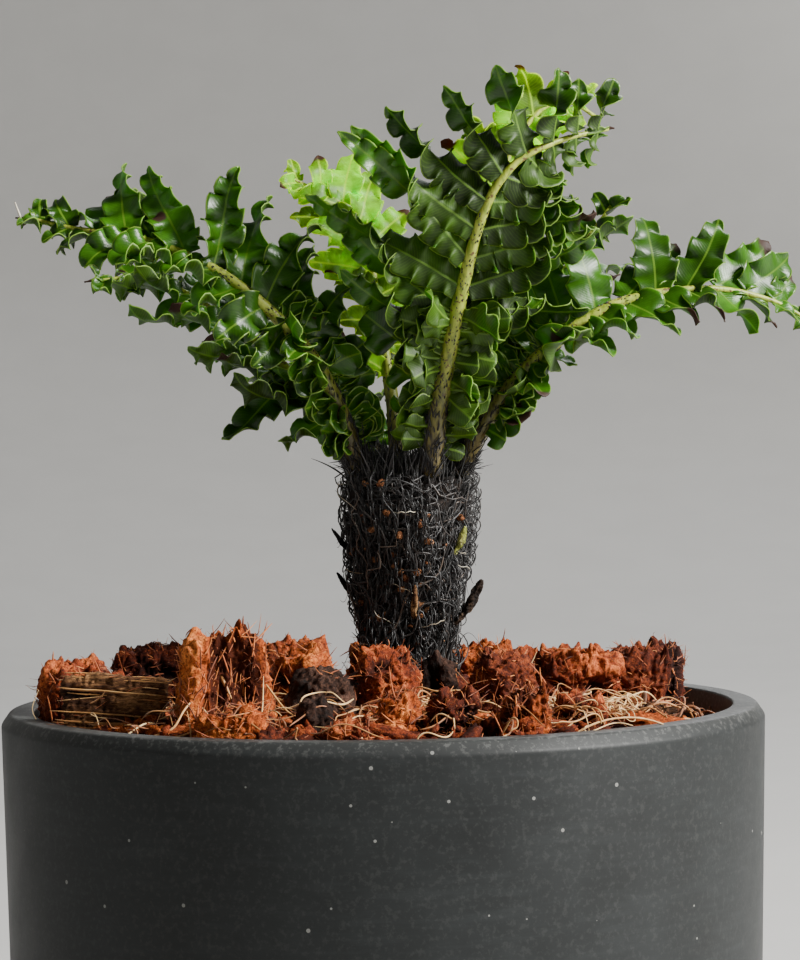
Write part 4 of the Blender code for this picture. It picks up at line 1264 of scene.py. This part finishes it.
def add_fuzz(fuzz, points, normals, count, draw):
    """Short fine fibres that stand up all over a piece of husk."""
    pick = draw.integers(0, len(points), count)
    out = normals[pick]
    way = unit(out * 0.6 + draw.normal(0, 0.6, (count, 3)))
    t = np.linspace(0, 1, 4)[None, :, None]
    length = draw.uniform(0.5, 1.7, count)[:, None, None] * MM
    bow = draw.normal(0, 0.35, (count, 1, 3))
    paths = points[pick][:, None] - out[:, None] * 0.1 * MM + length * (way[:, None] * t + bow * t * t)
    radii = thickness(draw, count, 0.03, 0.075, [1, 1, 0.8, 0.3])
    add_tubes(fuzz, paths, radii, 3, draw.random(count) * 0.8)


def add_slab_strands(straws, points, normals, middle, ways, draw):
    """Straight pale strands side by side along a split slab."""
    count, rings = 46, 12
    pick = draw.integers(0, len(points), count)
    start, out = points[pick], normals[pick]
    reach = (points - middle) @ ways[0]
    here = ((start - middle) @ ways[0])[:, None]
    low = reach.min() + draw.uniform(-0.8, 3.0, count)[:, None] * MM
    high = reach.max() + draw.uniform(-3.0, 0.8, count)[:, None] * MM
    travel = low + (high - low) * np.linspace(0, 1, rings)[None] - here
    paths = start[:, None] + ways[0] * travel[..., None] + out[:, None] * 0.12 * MM
    paths = paths + 0.25 * MM * np.stack([noise(paths, 3 * MM, seed) for seed in (5, 6, 7)], -1)
    radii = thickness(draw, count, 0.08, 0.2, np.interp(np.arange(rings), [0, 2, 9, 11], [0.4, 1, 1, 0.4]))
    add_tubes(straws, paths, radii, 5, draw.uniform(0.2, 0.75, count))


def add_husk_fibres(strands, husk, points, normals, ways, draw):
    """Fibres that lie on a chip and leave it at their ends."""
    count, rings = husk.fibres, 9
    pick = draw.integers(0, len(points), count)
    start, out = points[pick], normals[pick]
    if husk.grain == "none":
        way = unit(draw.normal(0, 1, (count, 3)))
    else:
        main = ways["xyz".index(husk.grain)]
        way = unit(main * draw.choice([-1, 1], count)[:, None] + draw.normal(0, 0.28, (count, 3)))
    way = unit(way - 0.85 * (way * out).sum(-1, keepdims=True) * out)
    way[:, 2] = np.abs(way[:, 2]) * np.where(draw.random(count) < 0.8, 1, -0.4)
    length = draw.uniform(1.0, 3.6, count)[:, None, None] * MM
    if husk.kind in ("orange", "slab"):
        length = length * 1.5
    t = np.linspace(0, 1, rings)[None, :, None]
    bow = draw.normal(0, 0.22, (count, 1, 3))
    rise = draw.uniform(-0.04, 0.12, (count, 1, 1))
    bowed = way[:, None] * (t - 0.25) + bow * t * t + out[:, None] * rise * t * t
    paths = start[:, None] + out[:, None] * 0.05 * MM + length * bowed
    shares = np.interp(np.arange(rings), [0, 1, rings - 3, rings - 1], [0.6, 1, 0.85, 0.25])
    radii = thickness(draw, count, 0.05, 0.15, shares)
    add_tubes(strands, paths, radii, 4, draw.random(count) * (0.75 if husk.kind != "slab" else 1.0))


def medium_height(x, y):
    """Height of the medium's domed top."""
    bore = POT_RADIUS - POT_WALL
    return MEDIUM_TOP - MEDIUM_RISE * np.minimum(1.0, (x * x + y * y) / bore**2)


def bed_height(x, y):
    """The litter's level: it rises round the trunk and fills the front up to near the rim."""
    reach = POT_RADIUS - POT_WALL
    from_trunk = np.hypot(x - TRUNK_FOOT_CENTRE.x, y)
    mound = 8.5 * MM * np.exp(-((np.maximum(from_trunk - 8 * MM, 0) / (8 * MM)) ** 2))
    far = np.hypot(x, y) / reach
    front = smooth((-y / reach - 0.05) / 0.5)
    fill = (1.4 + 4.4 * front) * MM * smooth((1.02 - far) / 0.04 + 0.6)
    hollow = smooth((x / reach - 0.45) / 0.25) * smooth((y / reach + 0.35) / 0.3)
    return medium_height(x, y) + np.maximum(mound, fill * (1 - hollow))


def make_medium():
    """The bed of fine coir: a solid body whose top is rough."""
    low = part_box("growing_medium")[0].z
    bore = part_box("growing_medium")[1].x
    edge_low = bore - 2.4 * MM  # it narrows downwards with the pot
    floor_rows, wall_rows, rows = 8, 40, 70
    profile = [(0.0, low), *[(edge_low * i / floor_rows, low) for i in range(1, floor_rows + 1)]]
    profile += [(edge_low + (bore - edge_low) * i / wall_rows,
                 low + (MEDIUM_TOP - MEDIUM_RISE - low) * i / wall_rows) for i in range(1, wall_rows + 1)]
    profile += [(bore * (1 - i / rows), 0.0) for i in range(1, rows)]
    profile += [(0.0, 0.0)]
    points, quads, triangles = turned(profile, 288)
    flat = np.hypot(points[:, 0], points[:, 1])
    top = points[:, 2] == 0.0
    points[top, 2] = bed_height(points[top, 0], points[top, 1])
    rough = (1.4 * noise(points, 5 * MM, 7) + 0.9 * np.abs(noise(points, 1.6 * MM, 8))
             + 0.4 * noise(points, 0.8 * MM, 9))
    points[top, 2] += (rough * smooth((bore - flat) / (3 * MM)) - 0.6)[top] * MM
    shapes = Shapes("tone", "hollow")
    # Painted shade: the hollow value is high all over and highest in low spots, and with the dark husk it
    # darkens the bed between the chips.
    shapes.add(points, quads, triangles, tone=np.clip(0.4 + 0.4 * noise(points, 7 * MM, 4), 0, 1),
               hollow=np.clip(0.7 - 0.35 * rough, 0, 1))
    shapes.piece("coir_bed", "husk_dark", "medium", "growing_medium")


def make_litter(fuzz):
    """Small husk pieces that fill the pot between the chips, up to its rim at the front."""
    draw = chance(51)
    groups = {kind: Shapes("tone", "hollow") for kind in ("red", "dark", "orange")}
    inner = POT_RADIUS - POT_WALL - 1.2 * MM
    for i in range(1100):
        angle, out = draw.uniform(0, 2 * np.pi), math.sqrt(draw.uniform(0.03, 1))
        size = draw.uniform(0.9, 2.9) * MM * (0.75 + 0.25 * draw.random())
        span = size * np.array([draw.uniform(0.9, 1.7), draw.uniform(0.5, 1.0), draw.uniform(0.25, 0.8)])
        reach = inner - span.max()
        x, y = reach * out * math.cos(angle), reach * out * math.sin(angle)
        if math.hypot(x - TRUNK_FOOT_CENTRE.x, y) < 9.5 * MM:
            continue
        points, triangles = lump(draw, span, 3 if size > 1.8 * MM else 2, 0.6)
        z = float(bed_height(x, y)) + span.min() * 0.3 + draw.uniform(-0.6, 1.0) * MM
        z = min(z, POT_HEIGHT + 0.8 * MM - points[:, 2].max() * 0.6)
        kind = ("red", "dark", "orange", "red", "orange")[i % 5]
        fine = noise(points, 0.5 * MM, 60) + 0.5 * noise(points, 0.27 * MM, 61)
        points = points * (1 + 0.17 * fine[:, None])
        add_fuzz(fuzz, points + [x, y, z], unit(points), 7, draw)
        # Painted shade: the hollow value is high where a grain's surface sank.
        groups[kind].add(points + [x, y, z], triangles=triangles, tone=draw.random(),
                         hollow=np.clip(0.35 - 0.6 * fine, 0, 1))
    for kind, shapes in groups.items():
        shapes.piece(f"litter_{kind}", f"husk_{kind}", "medium")


def lying_fibres(draw, name, count, rings, length, thick, degrees, region, curl, tone):
    """Loose fibres on the bed, between two angles and two shares of the bore."""
    inner = POT_RADIUS - POT_WALL - 1.5 * MM
    t = np.linspace(-0.5, 0.5, rings)[None]
    angle = np.radians(draw.uniform(*degrees, count))[:, None]
    out = draw.uniform(*region, count)[:, None] * inner
    heading = draw.uniform(0, 2 * np.pi, count)[:, None] + curl * draw.normal(0, 1, count)[:, None] * t
    heading = heading + 0.5 * np.sin(5 * t + draw.uniform(0, 6, count)[:, None])
    size = draw.uniform(*length, count)[:, None] * MM
    step = size / (rings - 1)
    x = out * np.cos(angle) + np.cumsum(np.cos(heading) * step, axis=1)
    y = out * np.sin(angle) + np.cumsum(np.sin(heading) * step, axis=1)
    far = np.hypot(x, y)
    keep = np.minimum(1, inner / np.maximum(far, 1e-6))
    x, y = x * keep, y * keep
    base = bed_height(x, y) + 0.6 * MM
    arch = draw.uniform(0.0, 2.6, count)[:, None] * MM * (1 - 4 * t * t)
    arch = arch + draw.uniform(0, 2.0, count)[:, None] * MM
    z = base + arch + 0.5 * MM * np.sin(9 * t + draw.uniform(0, 6, count)[:, None])
    paths = np.stack([x, y, z], -1)
    shares = np.interp(np.arange(rings), [0, 2, rings - 3, rings - 1], [0.45, 1, 0.9, 0.35])
    radii = thickness(draw, count, *thick, shares)
    make_fibres(name, "straw", "medium", paths, radii, 5, draw.uniform(*tone, count))


# Strands with a place of their own: radius, tone, and points in mm from the pot's axis and the medium's top
STRANDS = (
    (0.20, 0.75, ((27.6, -50, 1.3), (31.6, -48, 3.7), (35.7, -46, 4.8), (40.5, -44, 4.7), (45, -42, 3.1),
                  (48.7, -40, 0))),
    (0.42, 0.80, ((-24.5, -30, 12.8), (-27.9, -31, 10.5), (-30.4, -32, 11.3), (-31.8, -32, 12.9))),
    (0.36, 0.45, ((-24.8, -30, 11.0), (-28.4, -31, 9.6), (-30.7, -32, 10.1), (-32.1, -32, 11.6))),
    (0.50, 0.55, ((-26.3, -31, 13.8), (-25.5, -35.5, 11.6), (-23.9, -36.8, 8.0))),
    (0.22, 0.75, ((-36.1, -43, 2.7), (-32.8, -43, 4.0), (-31.0, -41, 6.8), (-28.5, -38, 9.5))),
    (0.36, 0.62, ((-39.5, -42, 2.4), (-36.2, -44, 2.8), (-32.2, -47, 3.0), (-29.2, -48, 4.0))),
    (0.09, 0.95, ((-56.5, -20, 2.5), (-57.7, -20, 5.2), (-56.6, -20, 8.4))),
    (0.17, 0.75, ((-29.7, -48, 0.9), (-29.5, -49, 3.9), (-30.1, -48.5, 7.2))),
    (0.15, 0.90, ((-19.4, -42.5, 3.9), (-18.7, -42.8, 7.1), (-18.5, -41.5, 11.9))),
    (0.18, 0.60, ((-23.4, -51.5, 0.8), (-22.9, -52.5, 3.5), (-22.2, -52, 5.6))),
    (0.17, 0.85, ((-12.8, -40, 5.0), (-12.6, -40, 8.1), (-10, -38, 8.9), (-7.6, -38, 8.8))),
    (0.22, 0.85, ((-8.5, -56, 0.8), (-4.0, -56, 1.6), (-3.1, -56, 4.0), (-6.2, -54, 4.6),
                  (-10.5, -52, 4.9))),
    (0.20, 0.70, ((-18.3, -38, 10.3), (-15.2, -41, 6.6), (-12.8, -42, 5.1))),
    (0.24, 0.75, ((27.4, -49, 1.6), (28.3, -49.5, 3.5), (29.8, -48, 4.6))),
    (0.16, 0.80, ((17.3, -50, 2.0), (21.5, -48, 3.6), (26.5, -46, 4.8))),
    (0.11, 0.95, ((-0.7, -14, 7.5), (-0.3, -15, 9.6), (-1.0, -16, 11.3), (0.1, -16, 12.8))),
    (0.09, 0.90, ((-3.3, -14, 8.0), (-3.6, -15, 10.3))),
    (0.14, 0.90, ((22.0, -20, 8.0), (24.5, -20, 11.5), (25.5, -20, 13.5))),
)


def make_placed_strands(straws):
    """The thick and curved strands that stand out among the chips."""
    rings = 20
    for radius, tone, points in STRANDS:
        path = curve_through(np.array(points) * MM + [0, 0, MEDIUM_TOP], rings)
        shares = np.interp(np.arange(rings), [0, 2, 12, rings - 1], [0.7, 1.0, 0.9, 0.3])
        add_tubes(straws, path[None], (0.85 * radius * MM * shares)[None], 7, [tone])


def make_loose_fibres():
    """Straws scattered on the bed, most at the front, with a pale nest and some twigs at the right."""
    draw = chance(61)
    for name, *values in (
        ("straw_front", 150, 22, (5, 18), (0.05, 0.17), (180, 360), (0.35, 0.98), 1.0, (0.25, 1.0)),
        ("straw_all", 90, 20, (6, 18), (0.06, 0.16), (0, 360), (0.3, 0.95), 1.0, (0.2, 0.9)),
        ("straw_nest", 46, 26, (6, 14), (0.07, 0.15), (302, 326), (0.72, 0.92), 3.0, (0.45, 1.0)),
        ("twigs", 26, 18, (6, 14), (0.14, 0.32), (328, 372), (0.8, 0.96), 0.8, (0.0, 0.6)),
    ):
        lying_fibres(draw, name, *values)


# ---------------------------------------------------------------- pot


def rounded(corners, radius, steps=4):
    """A profile with its corners rounded off."""
    found = [corners[0]]
    for before, corner, after in zip(corners, corners[1:], corners[2:]):
        a, b, c = np.array(before), np.array(corner), np.array(after)
        cut = min(radius, 0.45 * np.linalg.norm(b - a), 0.45 * np.linalg.norm(c - b))
        start, end = b + unit(a - b) * cut, b + unit(c - b) * cut
        for i in range(steps + 1):
            t = i / steps
            found.append(tuple((1 - t) ** 2 * start + 2 * t * (1 - t) * b + t * t * end))
    return [*found, corners[-1]]


SLITS = 6  # drain slits in the pot's floor
SLIT_RING = 34 * MM  # their middles' distance from the axis
SLIT_SIZE = (16 * MM, 3 * MM, 4 * POT_FLOOR)


def make_pot():
    """The moulded shell: outline turned, drain slits cut, and its rim marked for a painted highlight with
    dust.
    """
    base = POT_RADIUS - POT_TAPER
    chamfer = POT_HEIGHT - RIM_CHAMFER_HEIGHT
    outline = rounded([
        (0.0, 0.0), (base - 1.5 * MM, 0.0), (base, 1.5 * MM), (POT_RADIUS, chamfer),
        (POT_RADIUS - RIM_CHAMFER_WIDTH, POT_HEIGHT), (POT_RADIUS - POT_WALL, POT_HEIGHT),
        (base - POT_WALL, POT_FLOOR), (0.0, POT_FLOOR),
    ], 0.45 * MM)
    points, quads, triangles = turned(outline, 256)
    shapes = Shapes("worn")
    shapes.add(points, quads, triangles, worn=0.0)
    pot = shapes.object("slate_pot", "pot")
    for i in range(SLITS):
        angle = 2 * math.pi / SLITS * i
        bpy.ops.mesh.primitive_cube_add(size=1.0)
        cutter = bpy.context.object
        cutter.scale = SLIT_SIZE
        cutter.rotation_euler.z = angle
        cutter.location = (SLIT_RING * math.cos(angle), SLIT_RING * math.sin(angle), 0)
        cut = pot.modifiers.new(f"slit {i}", "BOOLEAN")
        cut.operation = "DIFFERENCE"
        cut.object = cutter
    bpy.context.view_layer.update()
    evaluated = pot.evaluated_get(bpy.context.evaluated_depsgraph_get())
    mesh = bpy.data.meshes.new_from_object(evaluated)
    for cut in list(pot.modifiers):
        bpy.data.objects.remove(cut.object)
    pot.modifiers.clear()
    pot.data = mesh
    mesh.set_sharp_from_angle(angle=math.radians(50))
    points, _ = mesh_arrays(mesh)
    # Marks the top 3 mm, where the pot material paints a rim highlight and dust.
    values = np.clip(1 - (POT_HEIGHT - points[:, 2]) / (3 * MM), 0, 1)
    mesh.attributes["worn"].data.foreach_set("value", values.astype(np.float32))
    settle(pot, "pot", "pot")


# ---------------------------------------------------------------- stage


FLOOR_RADIUS = 1.5  # where the floor starts to curve up
WALL_RADIUS = 3.0
WALL_CURVE = 1.5  # height of the curve
WALL_HEIGHT = 2.6
FLOOR_DROP = 0.0004  # the floor lies this far under the pot
FLOOR_SIDES = 128
DAYLIGHT = (0.93, 0.96, 1.0, 1.0)
DAYLIGHT_STRENGTH = 0.055
WARM_WHITE = (1.0, 0.99, 0.95)
CAMERA_PLACE = (0.0034, -0.500, 0.166)
CAMERA_PITCH = math.radians(90 - 0.884)
CAMERA_ROLL = math.radians(-0.8)
CAMERA_LENS = 109.4  # mm, on a sensor 36 mm high


def make_floor():
    """A pale floor that curves up all round into a plain wall."""
    profile = [(FLOOR_RADIUS * i / 6, 0.0) for i in range(7)]
    for i in range(1, 25):
        a = math.pi / 2 * i / 24
        out = FLOOR_RADIUS + (WALL_RADIUS - FLOOR_RADIUS) * math.sin(a)
        profile.append((out, WALL_CURVE * (1 - math.cos(a))))
    profile += [(WALL_RADIUS, WALL_CURVE + (WALL_HEIGHT - WALL_CURVE) * i / 4) for i in range(1, 5)]
    sides = FLOOR_SIDES
    angle = 2 * np.pi * np.arange(sides) / sides
    points = [(r * math.cos(a), r * math.sin(a), z - FLOOR_DROP) for r, z in profile[1:] for a in angle]
    quads = []
    for row, k in product(range(len(profile) - 2), range(sides)):
        after, start = (k + 1) % sides, row * sides
        quads.append((start + sides + k, start + sides + after, start + after, start + k))
    centre = len(points)
    points.append((0.0, 0.0, -FLOOR_DROP))
    triangles = [(centre, k, (k + 1) % sides) for k in range(sides)]
    shapes = Shapes()
    shapes.add(points, quads, triangles)
    shapes.object("studio_floor", "floor")


def area(name, place, size, power, colour, aim=(0, 0, 0.15)):
    """A soft lamp, aimed at the plant unless it lights the wall."""
    light = bpy.data.lights.new(name, "AREA")
    light.shape = "RECTANGLE"
    light.size, light.size_y = size
    light.energy = power
    light.color = colour
    lamp = bpy.data.objects.new(name, light)
    lamp.location = place
    lamp.rotation_euler = (Vector(aim) - Vector(place)).to_track_quat("-Z", "Y").to_euler()
    lamp.visible_camera = False
    bpy.context.scene.collection.objects.link(lamp)


def make_lights():
    """Faint daylight, a soft key lamp low at the right, a fill from behind, and two lamps on the wall."""
    world = bpy.data.worlds.new("studio")
    world.use_nodes = True
    background = world.node_tree.nodes["Background"].inputs
    background["Color"].default_value = DAYLIGHT
    background["Strength"].default_value = DAYLIGHT_STRENGTH
    bpy.context.scene.world = world
    area("key", (1.22, -0.43, 0.95), (0.45, 0.6), 86, (1.0, 0.985, 0.96))
    area("back fill", (0.40, 1.7, 1.25), (0.9, 0.9), 11, (0.97, 0.98, 1.0))
    area("wall wash", (1.2, 1.2, 2.2), (1.0, 0.4), 3, WARM_WHITE, (1.2, 3.0, 0.7))
    area("wall glow", (1.0, 2.3, 1.0), (0.5, 0.5), 4.5, WARM_WHITE, (0.8, 3.0, 0.4))


def make_camera():
    """The photo's view, nearly level and a little rolled."""
    camera = bpy.data.cameras.new("camera")
    camera.sensor_fit = "VERTICAL"
    camera.sensor_height = 36.0
    camera.lens = CAMERA_LENS
    camera.clip_start = 0.01
    seen = bpy.data.objects.new("camera", camera)
    seen.matrix_world = (Matrix.Translation(CAMERA_PLACE) @ Matrix.Rotation(CAMERA_PITCH, 4, "X")
                         @ Matrix.Rotation(CAMERA_ROLL, 4, "Z"))
    bpy.context.scene.collection.objects.link(seen)
    bpy.context.scene.camera = seen


# Husk and stubs: their dark, middle and light colours, and for one how its grain is stretched. A darkened
# copy of the dark colour is their painted shade in hollows.
HUSK_COLOURS = {
    "husk_red": ((0.050, 0.008, 0.003), (0.24, 0.042, 0.012), (0.62, 0.160, 0.045)),
    "husk_dark": ((0.022, 0.004, 0.002), (0.090, 0.016, 0.006), (0.28, 0.062, 0.020)),
    "husk_orange": ((0.085, 0.014, 0.003), (0.40, 0.080, 0.016), (0.80, 0.25, 0.060)),
    "husk_slab": ((0.022, 0.008, 0.004), (0.10, 0.042, 0.018), (0.34, 0.17, 0.070), (0.35, 1.0, 2.4)),
    "husk_bark": ((0.007, 0.004, 0.003), (0.032, 0.015, 0.010), (0.12, 0.060, 0.040)),
    "husk_crumb": ((0.10, 0.03, 0.012), (0.34, 0.14, 0.06), (0.60, 0.32, 0.16)),
    "stub_brown": ((0.012, 0.008, 0.006), (0.050, 0.032, 0.022), (0.14, 0.090, 0.055)),
    "stub_black": ((0.002, 0.002, 0.002), (0.008, 0.007, 0.007), (0.030, 0.024, 0.020)),
    "stub_tan": ((0.05, 0.020, 0.008), (0.24, 0.12, 0.05), (0.46, 0.28, 0.13)),
    "shoot_bud": ((0.16, 0.18, 0.03), (0.44, 0.46, 0.12), (0.72, 0.70, 0.34)),
}


def make_materials():
    return {
        "floor": floor_material(),
        # The margin colours stand partly for the leaflets' pale edges and partly for a painted edge
        # highlight.
        "leaf": leaf_material(
            "fern_leaf", top=(0.025, 0.092, 0.002), under=(0.027, 0.068, 0.001), margin=(0.24, 0.37, 0.06),
            vein=(0.12, 0.23, 0.02), dry=(0.050, 0.016, 0.005), glow=(3.4, 3.6, 0.3), gloss=0.28,
            thin=0.30),
        "young_leaf": leaf_material(
            "young_fern_leaf", top=(0.095, 0.20, 0.0004), under=(0.13, 0.25, 0.0006),
            margin=(0.32, 0.44, 0.015), vein=(0.28, 0.42, 0.02), dry=(0.08, 0.028, 0.008),
            glow=(5.6, 4.4, 0.3), gloss=0.40, thin=0.50),
        "stalk": stalk_material(),
        "root": fibre_material("wiry_root", (0.0, (0.002, 0.002, 0.002)), (0.5, (0.010, 0.009, 0.009)),
                               (0.85, (0.030, 0.024, 0.021)), (1.0, (0.09, 0.06, 0.04)), rough=0.45),
        "bark": bark_material(),
        "thread": fibre_material("pale_thread", (0.0, (0.30, 0.22, 0.12)), (1.0, (0.62, 0.58, 0.46)),
                                 rough=0.5),
        "moss": fibre_material("moss", (0.0, (0.010, 0.022, 0.004)), (1.0, (0.08, 0.14, 0.02)), rough=0.7),
        "straw": fibre_material("straw", (0.0, (0.07, 0.020, 0.005)), (0.35, (0.26, 0.085, 0.020)),
                                (0.70, (0.58, 0.29, 0.085)), (1.0, (0.85, 0.62, 0.30)),
                                rough=0.55, sheen=0.15),
        "husk_fibre": fibre_material("husk_fibre", (0.0, (0.12, 0.025, 0.004)), (0.4, (0.38, 0.085, 0.015)),
                                     (0.75, (0.62, 0.20, 0.045)), (1.0, (0.78, 0.48, 0.20))),
        **{name: husk_material(name, *colours) for name, colours in HUSK_COLOURS.items()},
        "pot": pot_material(),
    }


MATERIALS = make_materials()
make_floor()
make_lights()
make_camera()
make_pot()
make_medium()
strands, straws, fuzz, litter_fuzz = (Shapes("tone", "share") for _ in range(4))
for chip_number in range(1, CHIPS + 1):
    make_chip(chip_number, strands, straws, fuzz)
make_litter(litter_fuzz)
make_placed_strands(straws)
for gathered, name, look in (
    (strands, "husk_fibres", "husk_fibre"), (straws, "straw_strands", "straw"),
    (fuzz, "husk_fuzz", "husk_fibre"), (litter_fuzz, "litter_fuzz", "husk_fibre"),
):
    gathered.piece(name, look, "medium")
make_loose_fibres()
make_trunk()
make_stubs()
make_fronds()
